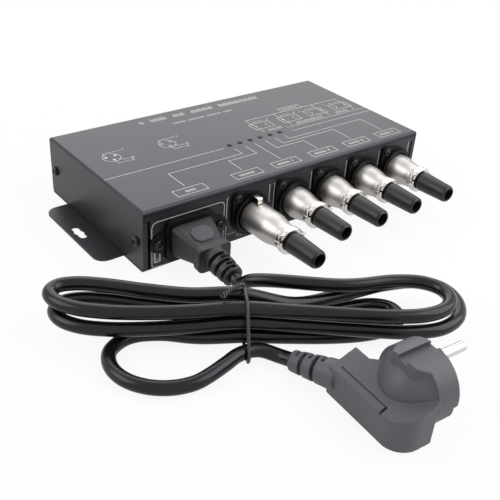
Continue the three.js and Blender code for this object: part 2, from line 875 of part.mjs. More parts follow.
// Moulded connector in the inlet: its nose, a grip that tapers and falls to a collar, a pad on top
// of it, and a strain relief that dips towards the ground
function gripSection(share, grow = 0) {
  const taper = share ** gripTaperPower;
  return {
    outline: corneredOutline(tapered(gripWidth, gripEndWidth, taper) + grow,
      tapered(gripHeight, gripEndHeight, taper) + grow, gripLowerCorner, gripUpperCorner),
    out: inletFlangeThick + fit + share * gripLength,
    drop: taper * gripDrop,
  };
}

function gripPad() {
  const half = gripPadWidth / 2;
  const plan = new THREE.Shape();
  const near = front - inletFlangeThick - gripPadStart;
  const far = near - gripPadLength;
  plan.moveTo(-half + gripPadCorner, far);
  plan.lineTo(half - gripPadCorner, far);
  plan.lineTo(half, far + gripPadCorner);
  plan.lineTo(half, near - gripPadCorner);
  plan.lineTo(half - gripPadCorner, near);
  plan.lineTo(-half + gripPadCorner, near);
  plan.lineTo(-half, near - gripPadCorner);
  plan.lineTo(-half, far + gripPadCorner);
  const over = loft(gripShares.map((share) => gripSection(share, gripPadRise * 2)));
  return common(plate(plan, 0, gripHeight), over);
}

function connectorBody() {
  const face = inletFlangeThick + fit;
  const nose = alongY(inletOutline(-fit), front - face - overrun,
    front + inletDepth - inletFloor - fit);
  const grip = loft([...gripShares.map((share) => gripSection(share)),
    { ...gripSection(1), out: face + gripLength + overrun }]);
  const collarOutline = corneredOutline(collarWidth, collarHeight, collarCorner, gripUpperCorner);
  const collar = loft([
    { outline: collarOutline, out: face + gripLength, drop: gripDrop },
    { outline: collarOutline, out: face + gripLength + collarLength, drop: collarDrop },
  ]);
  const relief = strainRelief({
    from: 0,
    start: reliefStart,
    end: reliefEnd,
    length: reliefLength,
    slots: reliefSlots,
  });
  relief.translate(0, -front, 0).rotateX(reliefDip);
  relief.translate(0, front - face - gripLength - collarLength + overrun / 2, -collarDrop);
  const slots = bladeBlocks(fit, front - overrun, front + inletDepth);
  return cut(join(nose, grip, gripPad(), collar, relief), ...slots);
}

// A tube of a cord through points, its two ends cut square
function tube(points, radius, sides, { first, last } = {}) {
  const vertices = [];
  const faces = [];
  const normal = new THREE.Vector3();
  points.forEach((point, i) => {
    const before = points[Math.max(i - 1, 0)];
    const after = points[Math.min(i + 1, points.length - 1)];
    const along = after.clone().sub(before).normalize();
    if (i === 0 && first) along.copy(first);
    if (i === points.length - 1 && last) along.copy(last);
    if (i === 0) normal.set(0, 0, 1);
    normal.addScaledVector(along, -normal.dot(along)).normalize();
    const across = along.clone().cross(normal);
    for (let k = 0; k < sides; k++) {
      const a = Math.PI * 2 * (k + 0.5) / sides;
      const spot = point.clone().addScaledVector(normal, radius * Math.cos(a));
      vertices.push(...spot.addScaledVector(across, radius * Math.sin(a)).toArray());
      if (i === 0) continue;
      const [p, q] = [i * sides + k, i * sides + (k + 1) % sides];
      faces.push(p, q, p - sides, q, q - sides, p - sides);
    }
  });
  const end = (points.length - 1) * sides;
  for (let k = 1; k < sides - 1; k++) faces.push(0, k, k + 1, end, end + k + 1, end + k);
  const geometry = new THREE.BufferGeometry();
  geometry.setAttribute('position', new THREE.Float32BufferAttribute(vertices, 3));
  return geometry.setIndex(faces);
}

// A point given along and across the hank
function atWaist(along, across, z) {
  const spot = new THREE.Vector2(along, across).rotateAround(new THREE.Vector2(), waistTurn);
  const rise = waistRise * (1 - THREE.MathUtils.smoothstep(Math.abs(along), 0, waistRiseReach));
  return new THREE.Vector3(waistX + spot.x, waistY + spot.y, z + rise);
}

function foldPoints({ side, reach, swell, leanShare, startShare, from, to, top, end }) {
  const columns = { back: columnSpread, fore: -columnSpread };
  const points = [];
  const steps = Math.round(foldSteps * (1 - startShare));
  for (let i = 0; i <= steps; i++) {
    const share = tapered(startShare, 1, i / steps);
    const out = Math.sin(Math.PI * share);
    const turn = Math.cos(Math.PI * share);
    const open = side * swell * foldOpenShare * out ** 2 * turn;
    const across = tapered(columns[from], columns[to], (1 - turn) / 2) + open
      + leanShare * reach * out ** 1.5;
    const sink = THREE.MathUtils.smoothstep(share, 0, foldSinkShare);
    points.push(atWaist(side * reach * out, across, layerStart + layerStep * tapered(top, end, sink)));
  }
  return points;
}

// Where the lead leaves the strain relief of the connector, and the way it points there
function connectorMouth() {
  const way = new THREE.Vector3(0, -1, 0).applyAxisAngle(new THREE.Vector3(1, 0, 0), reliefDip);
  const collarFace = inletFlangeThick + fit + gripLength + collarLength - overrun / 2;
  const spot = new THREE.Vector3(left + inletPlace, front - collarFace, inletHeight - collarDrop);
  return { spot: spot.addScaledVector(way, reliefLength + fit), way };
}

// From the connector: straight out, then round to the first fold
function entryPoints(next, after) {
  const { spot: start, way } = connectorMouth();
  const bend = start.clone().addScaledVector(way, entryStraight);
  const pull = bend.clone().addScaledVector(way, entryPull).add(new THREE.Vector3(0, 0, entryClimb));
  const ease = next.clone().addScaledVector(after.clone().sub(next).normalize(), -entryEase);
  const curve = new THREE.CubicBezierCurve3(bend, pull, ease, next);
  return [start, ...curve.getPoints(entrySteps).slice(0, -1)];
}

// Where the lead leaves the strain relief of the wall plug, and the way it points there
function wallMouth() {
  const way = new THREE.Vector3(0, 1, 0).applyAxisAngle(new THREE.Vector3(1, 0, 0), wallReliefDip)
    .applyAxisAngle(new THREE.Vector3(0, 0, 1), wallReliefTurn);
  const spot = new THREE.Vector3(wallReliefX, gripBack - fit, wallReliefHeight)
    .addScaledVector(way, wallReliefLength + fit);
  const up = new THREE.Vector3(0, 0, 1);
  spot.applyAxisAngle(up, wallPlugTurn).add(new THREE.Vector3(wallPlugX, wallPlugY, 0));
  return { spot, way: way.applyAxisAngle(up, wallPlugTurn) };
}

function groundCurve() {
  const points = wideFold.map(([along, across]) => atWaist(along, across, layerStart));
  const { spot, way } = wallMouth();
  points.push(spot.clone().addScaledVector(way, leadRadius * 2), spot);
  return new THREE.CatmullRomCurve3(points, false, 'centripetal');
}

function hankPoints() {
  const parts = folds.map(foldPoints);
  const wide = [];
  const ground = groundCurve();
  for (let i = 1; i <= wideFoldSteps; i++) wide.push(ground.getPointAt(tailStartShare * i / wideFoldSteps));
  const entry = entryPoints(parts[0][0], parts[0][1]);
  return [...entry, ...parts[0], ...parts.slice(1).flatMap((part) => part.slice(1)), ...wide];
}

function tailPoints() {
  const ground = groundCurve();
  const start = tailStartShare + fit / ground.getLength();
  const points = [];
  for (let i = 0; i <= tailSteps; i++) points.push(ground.getPointAt(tapered(start, 1, i / tailSteps)));
  return points;
}

// The least gap between two stretches of one cord, measured between points set close together
function selfGap(points, radius) {
  const spots = [];
  for (let i = 1; i < points.length; i++) {
    const count = Math.ceil(points[i].distanceTo(points[i - 1]) / radius * 4);
    for (let k = 0; k < count; k++) spots.push(points[i - 1].clone().lerp(points[i], k / count));
  }
  const run = [0];
  for (let i = 1; i < spots.length; i++) run.push(run[i - 1] + spots[i].distanceTo(spots[i - 1]));
  let least = Infinity;
  for (let i = 0; i < spots.length; i++) {
    for (let k = i + 1; k < spots.length; k++) {
      if (run[k] - run[i] < radius * 8) continue;
      least = Math.min(least, spots[i].distanceTo(spots[k]));
    }
  }
  return { gap: least - radius * 2, length: run[run.length - 1] };
}

// The tie follows the outside of the bundle and stands up in two ends at its back
function tiePoints() {
  const half = Math.PI / 2 / tieCornerSteps / 2;
  const off = (leadRadius + tieRadius + tieClearance) / Math.cos(half);
  const top = layerStart + layerStep * 2;
  const corners = [
    [columnSpread, top, Math.PI / 4, 0],
    [columnSpread, layerStart, 0, -Math.PI / 2],
    [tieTailAcross, layerStart, -Math.PI / 2, -Math.PI * 5 / 4],
    [-columnSpread, top, -Math.PI * 5 / 4, -Math.PI * 3 / 2],
    [columnSpread, top, -Math.PI * 3 / 2, -Math.PI * 3 / 2 - Math.PI / 12],
  ];
  const points = corners.flatMap(([across, z, from, to]) => {
    const steps = Math.max(1, Math.round(Math.abs(to - from) / (Math.PI / 2) * tieCornerSteps));
    const arc = [];
    for (let i = 0; i <= steps; i++) {
      const a = tapered(from, to, i / steps);
      arc.push(atWaist(tiePlace, across + off * Math.cos(a), z + off * Math.sin(a)));
    }
    return arc;
  });
  const first = points[0].clone().add(new THREE.Vector3(tieRadius, 0, tieLift));
  const end = points[points.length - 1];
  const turn = atWaist(tiePlace - tieLift, columnSpread, top + off + tieLift / 2);
  const last = atWaist(tiePlace - tieLift - tieEnd, columnSpread - tieLift, top + off + tieLift / 2);
  return [first, ...points.slice(0, -1), end, turn, last];
}

// Wall plug: grip, shroud with a scoop behind its rim, notches for the guides and earth springs
function gripBody() {
  const profile = new THREE.Shape();
  profile.moveTo(0, gripFoot);
  profile.lineTo(shroudBack, gripFoot);
  profile.lineTo(shroudBack, gripHigh);
  profile.lineTo(gripHighAt, gripHigh);
  profile.lineTo(0, gripLow);
  const plan = new THREE.Shape();
  plan.moveTo(0, gripBack);
  plan.lineTo(0, gripFront + gripCorner);
  plan.absarc(gripCorner, gripFront + gripCorner, gripCorner, Math.PI, Math.PI * 3 / 2);
  plan.lineTo(shroudBack, gripFront);
  plan.lineTo(shroudBack, gripNeckLength);
  plan.lineTo(gripThick, gripNeckLength + gripNeck);
  plan.lineTo(gripThick, gripBack);
  return common(alongY(profile, gripFront, gripBack), plate(plan, 0, gripHigh + overrun, 6));
}

function shroudBody() {
  const profile = [[0, gripThick / 2], [shroudScoop, gripThick / 2]];
  for (let i = 0; i <= scoopSteps; i++) {
    const share = i / scoopSteps;
    profile.push([tapered(shroudScoop, shroudRadius - overrun, share ** 2),
      tapered(gripThick, shroudBack + overrun, share)]);
  }
  profile.push([shroudRadius, shroudBack + overrun], [shroudRadius, shroudFace - fit * 2],
    [shroudRadius - fit * 2, shroudFace], [0, shroudFace]);
  const points = profile.map(([radius, x]) => new THREE.Vector2(radius, x));
  const body = new THREE.LatheGeometry([...points, points[0]], 24).rotateZ(-Math.PI / 2);
  return body.translate(0, 0, shroudRadius);
}

function wallReliefBody() {
  const relief = strainRelief({
    from: 0,
    start: wallReliefStart,
    end: wallReliefEnd,
    length: wallReliefLength,
    slots: wallReliefSlots,
  });
  relief.translate(0, -front, 0).rotateZ(Math.PI).rotateX(wallReliefDip).rotateZ(wallReliefTurn);
  return relief.translate(wallReliefX, gripBack - fit, wallReliefHeight);
}

function wallPin(side, grow, x0) {
  const length = shroudFace + pinLength - x0;
  const pin = new THREE.CylinderGeometry(pinRadius + grow, pinRadius + grow, length, 12).rotateZ(Math.PI / 2);
  return pin.translate(x0 + length / 2, 0, shroudRadius + side * pinSpread);
}

function wallPlug() {
  const notches = [-1, 1].flatMap((side) => {
    const deep = shroudRadius - guideDepth;
    const shallow = shroudRadius - earthDepth;
    const out = shroudRadius + overrun;
    const guide = [side * deep, side * out].sort((a, b) => a - b);
    const earth = [side * shallow, side * out].sort((a, b) => a - b);
    return [
      block(shroudBack, shroudFace + overrun, -guideWidth / 2, guideWidth / 2,
        shroudRadius + guide[0], shroudRadius + guide[1]),
      block(shroudBack + overrun, shroudFace + overrun, ...earth, shroudRadius - earthWidth / 2,
        shroudRadius + earthWidth / 2),
    ];
  });
  const pinHoles = [-1, 1].map((side) => wallPin(side, press, shroudFace - pinRoot - press));
  return cut(join(gripBody(), shroudBody(), wallReliefBody()), ...notches, ...pinHoles);
}

// Inside: the board on four pillars and what is soldered to it
const boardTop = boardHeight + boardThick;
const boardFront = front + boardFrontGap;
const boardRear = -front - boardRearGap;
const boardLeft = left + boardSideGap;

function pillarPlaces() {
  const x = boardLeft + standoffInset;
  return [[x, boardFront + standoffInset], [-x, boardFront + standoffInset],
    [x, boardRear - standoffInset], [-x, boardRear - standoffInset]];
}

function pillar() {
  return upright([[0, sheet + press], [standoffRadius, sheet + press], [standoffRadius, boardHeight - press],
    [screwRadius, boardHeight - press], [screwRadius, boardTop + boardScrewRise],
    [0, boardTop + boardScrewRise]], 6);
}

function mainBoard() {
  const outline = rounded(boardLeft, -boardLeft, boardFront, boardRear, foldRadius);
  const holes = pillarPlaces().map(([x, y]) => upright([[0, 0], [screwRadius + fit, 0],
    [screwRadius + fit, boardHeight * 2], [0, boardHeight * 2]], 10).translate(x, y, 0));
  return cut(plate(outline, boardHeight, boardTop, 2), ...holes);
}

function powerModule() {
  const x = boardLeft + powerSide;
  const y = boardRear - powerRear;
  const outline = rounded(x, x + powerLength, y - powerDepth, y, powerRound);
  return plate(outline, boardTop + press, boxHeight - sheet - powerHeadroom, 3);
}

function driverChip() {
  const profile = new THREE.Shape();
  const foot = chipWidth / 2 + chipFoot;
  const base = boardTop + press;
  profile.moveTo(-foot, base);
  profile.lineTo(foot, base);
  profile.lineTo(chipWidth / 2, base + chipFoot);
  profile.lineTo(chipWidth / 2 - chipFoot / 2, base + chipHeight);
  profile.lineTo(-chipWidth / 2 + chipFoot / 2, base + chipHeight);
  profile.lineTo(-chipWidth / 2, base + chipFoot);
  return alongX(profile, -chipLength / 2, chipLength / 2);
}

function capacitor() {
  const base = boardTop + press;
  const rim = capRadius / 8;
  return upright([[0, base], [capRadius, base], [capRadius, base + rim * 3], [capRadius - rim, base + rim * 4],
    [capRadius, base + rim * 5], [capRadius, base + capHeight - rim], [capRadius - rim, base + capHeight],
    [0, base + capHeight]], 14);
}

function fuse() {
  const wide = fuseRadius + fuseRim;
  const profile = [[0, 0], [wide, 0], [wide, fuseCap], [fuseRadius, fuseCap],
    [fuseRadius, fuseLength - fuseCap], [wide, fuseLength - fuseCap], [wide, fuseLength], [0, fuseLength]];
  const points = profile.map(([radius, x]) => new THREE.Vector2(radius, x));
  return new THREE.LatheGeometry([...points, points[0]], 14).rotateZ(-Math.PI / 2);
}

// One clear moulding: a bar on two legs with a pipe up to each lamp hole
function lightGuide() {
  const first = left + ledPlace;
  const lastX = first + (ledCount - 1) * ledPitch;
  const y = front + ledBack;
  const high = boxHeight - sheet - ledSpacerWall;
  const bar = block(first - ledPitch / 2, lastX + ledPitch / 2, y - ledLength / 2, y + ledLength / 2,
    high - ledSpacerWall * 2, high);
  const legs = [first, lastX].map((x) => block(x - ledRadius, x + ledRadius, y - ledRadius, y + ledRadius,
    boardTop + press, high - ledSpacerWall));
  const pipes = [];
  for (let i = 0; i < ledCount; i++) {
    pipes.push(upright([[0, high - ledSpacerWall], [ledRadius, high - ledSpacerWall],
      [ledRadius, boxHeight], [ledRadius / 2, boxHeight + fit], [0, boxHeight + fit]], 12)
      .translate(first + i * ledPitch, y, 0));
  }
  return join(bar, ...legs, ...pipes);
}

const splitter = new THREE.Group();

function place(name, geometry, material, where = [0, 0, 0], parent = splitter) {
  const mesh = new THREE.Mesh(closed(geometry), material);
  mesh.name = name;
  mesh.position.set(...where);
  parent.add(mesh);
  return mesh;
}

place('base_tray', baseTray(), blackSheet);
place('top_cover', topCover(), blackSheet);
coverScrews().forEach(([name, screw]) => place(name, screw, blackScrew));

const inletAt = [left + inletPlace, 0, inletHeight];
place('mains_inlet', inletBody(), blackPlastic, inletAt);
place('mains_inlet_blade_line', inletBlade(-1), brass, inletAt);
place('mains_inlet_blade_earth', inletBlade(0), brass, inletAt);
place('mains_inlet_blade_neutral', inletBlade(1), brass, inletAt);
for (const [name, side] of [['left', -1], ['right', 1]]) {
  const screw = panelScrew(inletPlateThick + press, inletPlateThick + screwReach);
  place(`mains_inlet_screw_${name}`, screw.translate(side * inletScrewSpread, 0, 0), blackScrew, inletAt);
}
place('mains_connector', connectorBody(), greyRubber, inletAt);

const [inputX, ...outputXs] = socketPlaces();
const inputAt = [inputX, 0, socketHeight];
place('input_socket', inputSocket(), blackPlastic, inputAt);
place('input_plug_shell', inputShell(), nickel, inputAt);
place('input_plug_insert', boredInsert(-engagement + press, inputShellLength * shellStepShare - fit),
  blackPlastic, inputAt);
place('input_plug_latch', inputLatch(), nickel, inputAt);
place('input_plug_clamp', clampCollar(inputShellLength), nickel, inputAt);
place('input_plug_boot', boot(inputShellLength), greyRubber, inputAt);

outputXs.forEach((x, i) => {
  const at = [x, 0, socketHeight];
  const plug = `output_plug_${i + 1}`;
  place(`output_socket_${i + 1}`, outputSocket(), blackPlastic, at);
  place(`${plug}_shell`, outputShell(), nickel, at);
  place(`${plug}_insert`, pinInsert(fit * 3, outputInsertEnd), blackPlastic, at);
  place(`${plug}_clamp`, clampCollar(outputShellLength), nickel, at);
  place(`${plug}_boot`, boot(outputShellLength), greyRubber, at);
});

const hank = hankPoints();
const measured = selfGap(hank, leadRadius);
console.log(`hank: ${measured.length.toFixed(0)} mm of lead, least gap ${measured.gap.toFixed(2)} mm`);
const joinWay = groundCurve().getTangentAt(tailStartShare);
const mouthWay = wallMouth().way.negate();
place('mains_cord_hank', tube(hank, leadRadius, leadSides, { last: joinWay }), cordBlack);
place('mains_cord_tail', tube(tailPoints(), leadRadius, tailSides, { first: joinWay, last: mouthWay }),
  cordBlack);
place('twist_tie', tube(tiePoints(), tieRadius, tieSides), blackPlastic);

const plugFrame = new THREE.Group();
plugFrame.position.set(wallPlugX, wallPlugY, 0);
plugFrame.rotation.z = wallPlugTurn;
splitter.add(plugFrame);
place('wall_plug', wallPlug(), greyRubber, [0, 0, 0], plugFrame);
place('wall_plug_pin_line', wallPin(1, 0, shroudFace - pinRoot), nickel, [0, 0, 0], plugFrame);
place('wall_plug_pin_neutral', wallPin(-1, 0, shroudFace - pinRoot), nickel, [0, 0, 0], plugFrame);

place('main_board', mainBoard(), boardGreen);
pillarPlaces().forEach(([x, y], i) => place(`board_pillar_${i + 1}`, pillar(), brass, [x, y, 0]));
place('power_module', powerModule(), blackPlastic);
outputXs.forEach((x, i) => {
  place(`driver_chip_${i + 1}`, driverChip(), blackPlastic, [x - chipSide, boardFront + chipRow, 0]);
});
for (let i = 0; i < capCount; i++) {
  const x = boardLeft + powerSide + powerLength + capSide + i * capPitch;
  place(`capacitor_${i + 1}`, capacitor(), cordBlack, [x, boardRear - capRear, 0]);
}
const fuseAt = [boardLeft + fuseSide, boardFront + fuseRow, boardTop + fuseRadius + fuseRim + press];
place('mains_fuse', fuse(), nickel, fuseAt);
place('indicator_light_guide', lightGuide(), lens);

export default splitter;
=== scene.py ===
import json
import math
import random

import bmesh
import bpy
from mathutils import Matrix, Vector

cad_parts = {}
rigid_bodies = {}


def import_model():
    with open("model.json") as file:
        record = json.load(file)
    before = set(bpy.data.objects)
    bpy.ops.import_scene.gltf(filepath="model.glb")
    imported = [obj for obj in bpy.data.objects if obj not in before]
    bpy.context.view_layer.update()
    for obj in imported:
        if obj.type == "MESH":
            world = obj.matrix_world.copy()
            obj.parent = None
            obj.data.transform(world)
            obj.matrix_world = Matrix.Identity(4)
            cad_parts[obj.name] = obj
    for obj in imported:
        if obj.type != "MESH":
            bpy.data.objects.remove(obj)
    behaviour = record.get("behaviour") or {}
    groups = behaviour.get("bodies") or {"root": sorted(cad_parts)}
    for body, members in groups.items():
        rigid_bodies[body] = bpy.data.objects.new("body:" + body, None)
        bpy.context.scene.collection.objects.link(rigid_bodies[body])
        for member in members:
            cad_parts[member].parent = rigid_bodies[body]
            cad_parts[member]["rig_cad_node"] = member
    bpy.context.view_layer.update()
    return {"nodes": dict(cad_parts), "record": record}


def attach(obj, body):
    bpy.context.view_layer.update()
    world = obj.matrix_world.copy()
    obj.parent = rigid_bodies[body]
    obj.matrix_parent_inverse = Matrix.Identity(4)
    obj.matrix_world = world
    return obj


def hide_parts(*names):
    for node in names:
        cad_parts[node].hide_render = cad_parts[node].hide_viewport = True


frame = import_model()
scene = bpy.context.scene
mm = 0.001
tau = 2 * math.pi
gap = 0.3  # between pieces that part or meet, in millimetres
overrun = 2  # how far a cutter reaches past what it cuts
nearZero = 1e-6
bodies = frame["record"]["behaviour"]["bodies"]
bodyOf = {node: body for body, members in bodies.items() for node in members}
print("frame loaded:", len(frame["nodes"]), "nodes")

# the box, in millimetres, as the part has it
box = {"length": 207.5, "depth": 108.0, "height": 37.0, "bend": 0.7, "edge": 0.14, "near": 0.01}
front = -box["depth"] / 2
left = -box["length"] / 2
sockets = {"input": 70.1, "first": 101.7, "pitch": 28.94, "height": 17.0,
           "screws": [(-9.5, 12.0), (9.5, -12.0)], "flange": 1.8, "edge": 0.25, "smooth": 45}
inputX = left + sockets["input"]
outputXs = [left + sockets["first"] + sockets["pitch"] * i for i in range(4)]
inlet = {"x": left + 28.5, "z": 15.9, "screwSide": 20.0, "plate": 1.4, "edge": 0.35, "segments": 3}


# mesh helpers: points are in millimetres and the finished mesh in metres
def lerp(a, b, share):
    return a + (b - a) * share


def smoothStep(value, low, high):
    share = min(1.0, max(0.0, (value - low) / (high - low)))
    return share * share * (3 - 2 * share)


def newObject(name, data):
    made = bpy.data.objects.new(name, data)
    scene.collection.objects.link(made)
    return made


def newPiece(name, points, faces):
    mesh = bpy.data.meshes.new(name)
    mesh.from_pydata([tuple(c * mm for c in point) for point in points], [], faces)
    work = bmesh.new()
    work.from_mesh(mesh)
    bmesh.ops.recalc_face_normals(work, faces=work.faces)
    if work.calc_volume(signed=True) < 0:
        bmesh.ops.reverse_faces(work, faces=work.faces)
    work.to_mesh(mesh)
    work.free()
    return newObject(name, mesh)


easing = {"least": 0.01, "share": 0.45, "straight": math.radians(178)}


def roundCorners(loop, radius, steps=3):
    # each corner of a closed loop becomes a short arc, of its own size where its third value says so;
    # points on the axis stay
    made = []
    for i, here in enumerate(loop):
        corner = Vector(here[:2])
        back = Vector(loop[i - 1][:2]) - corner
        ahead = Vector(loop[(i + 1) % len(loop)][:2]) - corner
        own = here[2] if len(here) > 2 else radius
        reach = min(own, back.length * easing["share"], ahead.length * easing["share"])
        if abs(here[0]) < nearZero or reach < easing["least"] or back.angle(ahead) > easing["straight"]:
            made.append(tuple(corner))
            continue
        start = corner + back.normalized() * reach
        end = corner + ahead.normalized() * reach
        for k in range(steps + 1):
            t = k / steps
            made.append(tuple(start * (1 - t) ** 2 + corner * 2 * t * (1 - t) + end * t * t))
    return made


def turned(name, profile, x, z, segments, rounding=0.0):
    # profile: radius and distance out of the front
    loop = roundCorners(profile, rounding) if rounding else profile
    points, rings = [], []
    for radius, out in loop:
        if radius < nearZero:
            rings.append([len(points)] * segments)
            points.append((x, front - out, z))
            continue
        rings.append(list(range(len(points), len(points) + segments)))
        for k in range(segments):
            angle = tau * (k + 0.5) / segments
            points.append((x + radius * math.cos(angle), front - out, z + radius * math.sin(angle)))
    faces = []
    for i, ring in enumerate(rings):
        after = rings[(i + 1) % len(rings)]
        if ring[0] == ring[1] and after[0] == after[1]:
            continue
        for k in range(segments):
            n = (k + 1) % segments
            faces.append(list(dict.fromkeys([ring[k], ring[n], after[n], after[k]])))
    return newPiece(name, points, faces)


def prism(name, outline, low, high, place):
    # an outline pushed from low to high; place gives the point for (u, v, w)
    count = len(outline)
    points = [place(u, v, w) for w in (low, high) for u, v in outline]
    faces = [list(range(count)), list(range(count, 2 * count))]
    for k in range(count):
        n = (k + 1) % count
        faces.append([k, n, count + n, count + k])
    return newPiece(name, points, faces)


def alongY(name, outline, y0, y1, x=0.0, z=0.0):
    return prism(name, outline, y0, y1, lambda u, v, w: (x + u, w, z + v))


def block(name, low, high):
    outline = [(low[0], low[2]), (high[0], low[2]), (high[0], high[2]), (low[0], high[2])]
    return alongY(name, outline, low[1], high[1])


def circle(radius, steps=24):
    angles = [tau * i / steps for i in range(steps)]
    return [(radius * math.cos(angle), radius * math.sin(angle)) for angle in angles]


def asGiven(u, v, w):
    return (u, v, w)


def applyAll(piece):
    made = bpy.data.meshes.new_from_object(piece.evaluated_get(bpy.context.evaluated_depsgraph_get()))
    piece.modifiers.clear()
    old = piece.data
    piece.data = made
    bpy.data.meshes.remove(old)
    return piece


def carve(piece, tools, operation="DIFFERENCE"):
    for tool in tools:
        cutter = piece.modifiers.new("cutter", "BOOLEAN")
        cutter.operation = operation
        cutter.solver = "EXACT"
        cutter.object = tool
    applyAll(piece)
    for tool in tools:
        bpy.data.meshes.remove(tool.data)
    return piece


def edged(piece, width, segments=3, angle=30):
    edge = piece.modifiers.new("edges", "BEVEL")
    edge.width = width * mm
    edge.segments = segments
    edge.limit_method = "ANGLE"
    edge.angle_limit = math.radians(angle)
    return applyAll(piece)


skin = {"voxel": 0.3, "factor": 0.5, "rounds": 4, "smooth": 50}  # of both rubber mouldings


def moulded(piece):
    # one soft-edged skin over everything in the piece, as a rubber moulding has
    cover = piece.modifiers.new("skin", "REMESH")
    cover.mode = "VOXEL"
    cover.voxel_size = skin["voxel"] * mm
    ease = piece.modifiers.new("ease", "SMOOTH")
    ease.factor = skin["factor"]
    ease.iterations = skin["rounds"]
    return applyAll(piece)


def joined(name, pieces):
    work = bmesh.new()
    for piece in pieces:
        work.from_mesh(piece.data)
        bpy.data.meshes.remove(piece.data)
    mesh = bpy.data.meshes.new(name)
    work.to_mesh(mesh)
    work.free()
    return newObject(name, mesh)


def dress(piece, finish, body, slot, *stoodFor, smooth=38, flat=False):
    piece.data.materials.clear()
    piece.data.materials.append(finish)
    piece.data.shade_smooth()
    piece.data.set_sharp_from_angle(angle=math.radians(smooth))
    if flat:  # broad faces stay flat and only their eased edges turn
        level = piece.modifiers.new("level", "WEIGHTED_NORMAL")
        level.keep_sharp = True
        level.weight = 100
        applyAll(piece)
    if stoodFor:
        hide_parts(*stoodFor)
    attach(piece, body)
    return piece


nodeCopy = {"merge": 0.003, "flat": 0.8, "longEdge": 20, "bendSegments": 4}


def dressNode(node, finish, slot, bevel, segments=2, smooth=38, fold=None, bend=0.0):
    # a merged copy of a CAD node with eased edges stands for it; the edges that fold picks are bent first
    work = bmesh.new()
    work.from_mesh(frame["nodes"][node].data)
    bmesh.ops.remove_doubles(work, verts=work.verts, dist=nodeCopy["merge"] * mm)
    flat = math.radians(nodeCopy["flat"])
    bmesh.ops.dissolve_limit(work, angle_limit=flat, verts=work.verts, edges=work.edges)
    if fold:
        picked = [edge for edge in work.edges if all(fold(vert.co / mm) for vert in edge.verts)
                  and edge.calc_length() > nodeCopy["longEdge"] * mm]
        bmesh.ops.bevel(work, geom=picked, offset=bend * mm, offset_type="OFFSET",
                        segments=nodeCopy["bendSegments"], profile=0.5, affect="EDGES")
    mesh = bpy.data.meshes.new(node)
    work.to_mesh(mesh)
    work.free()
    piece = newObject(node + "_finished", mesh)
    edged(piece, bevel, segments)
    return dress(piece, finish, bodyOf[node], slot, node, smooth=smooth, flat=True)


# geometry node trees
def treeSocket(tree, name, kind, default=None):
    made = tree.interface.new_socket(name=name, in_out="INPUT", socket_type="NodeSocket" + kind)
    if default is not None:
        made.default_value = default
    return made


def startTree(name):
    tree = bpy.data.node_groups.new(name, "GeometryNodeTree")
    tree.interface.new_socket(name="Geometry", in_out="OUTPUT", socket_type="NodeSocketGeometry")
    treeSocket(tree, "Geometry", "Geometry")
    return tree, tree.nodes.new("NodeGroupInput"), tree.nodes.new("NodeGroupOutput")


def endTree(tree, given, result, geometry):
    realize = tree.nodes.new("GeometryNodeRealizeInstances")
    painted = tree.nodes.new("GeometryNodeSetMaterial")
    tree.links.new(geometry, realize.inputs["Geometry"])
    tree.links.new(realize.outputs["Geometry"], painted.inputs["Geometry"])
    tree.links.new(given.outputs["Material"], painted.inputs["Material"])
    tree.links.new(painted.outputs["Geometry"], result.inputs["Geometry"])
    return tree


def attributeNode(tree, name, kind):
    made = tree.nodes.new("GeometryNodeInputNamedAttribute")
    made.data_type = kind
    made.inputs["Name"].default_value = name
    return made


def repeatTree():
    # the shape, turned and sized by what each point says
    tree, given, result = startTree("repeatOnPoints")
    treeSocket(tree, "Shape", "Object")
    treeSocket(tree, "Material", "Material")
    shape = tree.nodes.new("GeometryNodeObjectInfo")
    spread = tree.nodes.new("GeometryNodeInstanceOnPoints")
    turn = attributeNode(tree, "turn", "FLOAT_VECTOR")
    size = attributeNode(tree, "size", "FLOAT_VECTOR")
    facing = tree.nodes.new("FunctionNodeEulerToRotation")
    tree.links.new(given.outputs["Geometry"], spread.inputs["Points"])
    tree.links.new(given.outputs["Shape"], shape.inputs["Object"])
    tree.links.new(shape.outputs["Geometry"], spread.inputs["Instance"])
    tree.links.new(turn.outputs["Attribute"], facing.inputs["Euler"])
    tree.links.new(facing.outputs["Rotation"], spread.inputs["Rotation"])
    tree.links.new(size.outputs["Attribute"], spread.inputs["Scale"])
    return endTree(tree, given, result, spread.outputs["Instances"])


def tubeTree():
    # a round skin over a line, closed at its ends
    tree, given, result = startTree("tubeOnLine")
    treeSocket(tree, "Radius", "Float", 1.0)
    treeSocket(tree, "Sides", "Int", 16)
    treeSocket(tree, "Step", "Float", 0.001)
    treeSocket(tree, "Material", "Material")
    even = tree.nodes.new("GeometryNodeResampleCurve")
    even.mode = "LENGTH"
    ring = tree.nodes.new("GeometryNodeCurvePrimitiveCircle")
    skin = tree.nodes.new("GeometryNodeCurveToMesh")
    skin.inputs["Fill Caps"].default_value = True
    tree.links.new(given.outputs["Geometry"], even.inputs["Curve"])
    tree.links.new(given.outputs["Step"], even.inputs["Length"])
    tree.links.new(given.outputs["Sides"], ring.inputs["Resolution"])
    tree.links.new(given.outputs["Radius"], ring.inputs["Radius"])
    tree.links.new(even.outputs["Curve"], skin.inputs["Curve"])
    tree.links.new(ring.outputs["Curve"], skin.inputs["Profile Curve"])
    return endTree(tree, given, result, skin.outputs["Mesh"])


repeatOnPoints = repeatTree()
tubeOnLine = tubeTree()


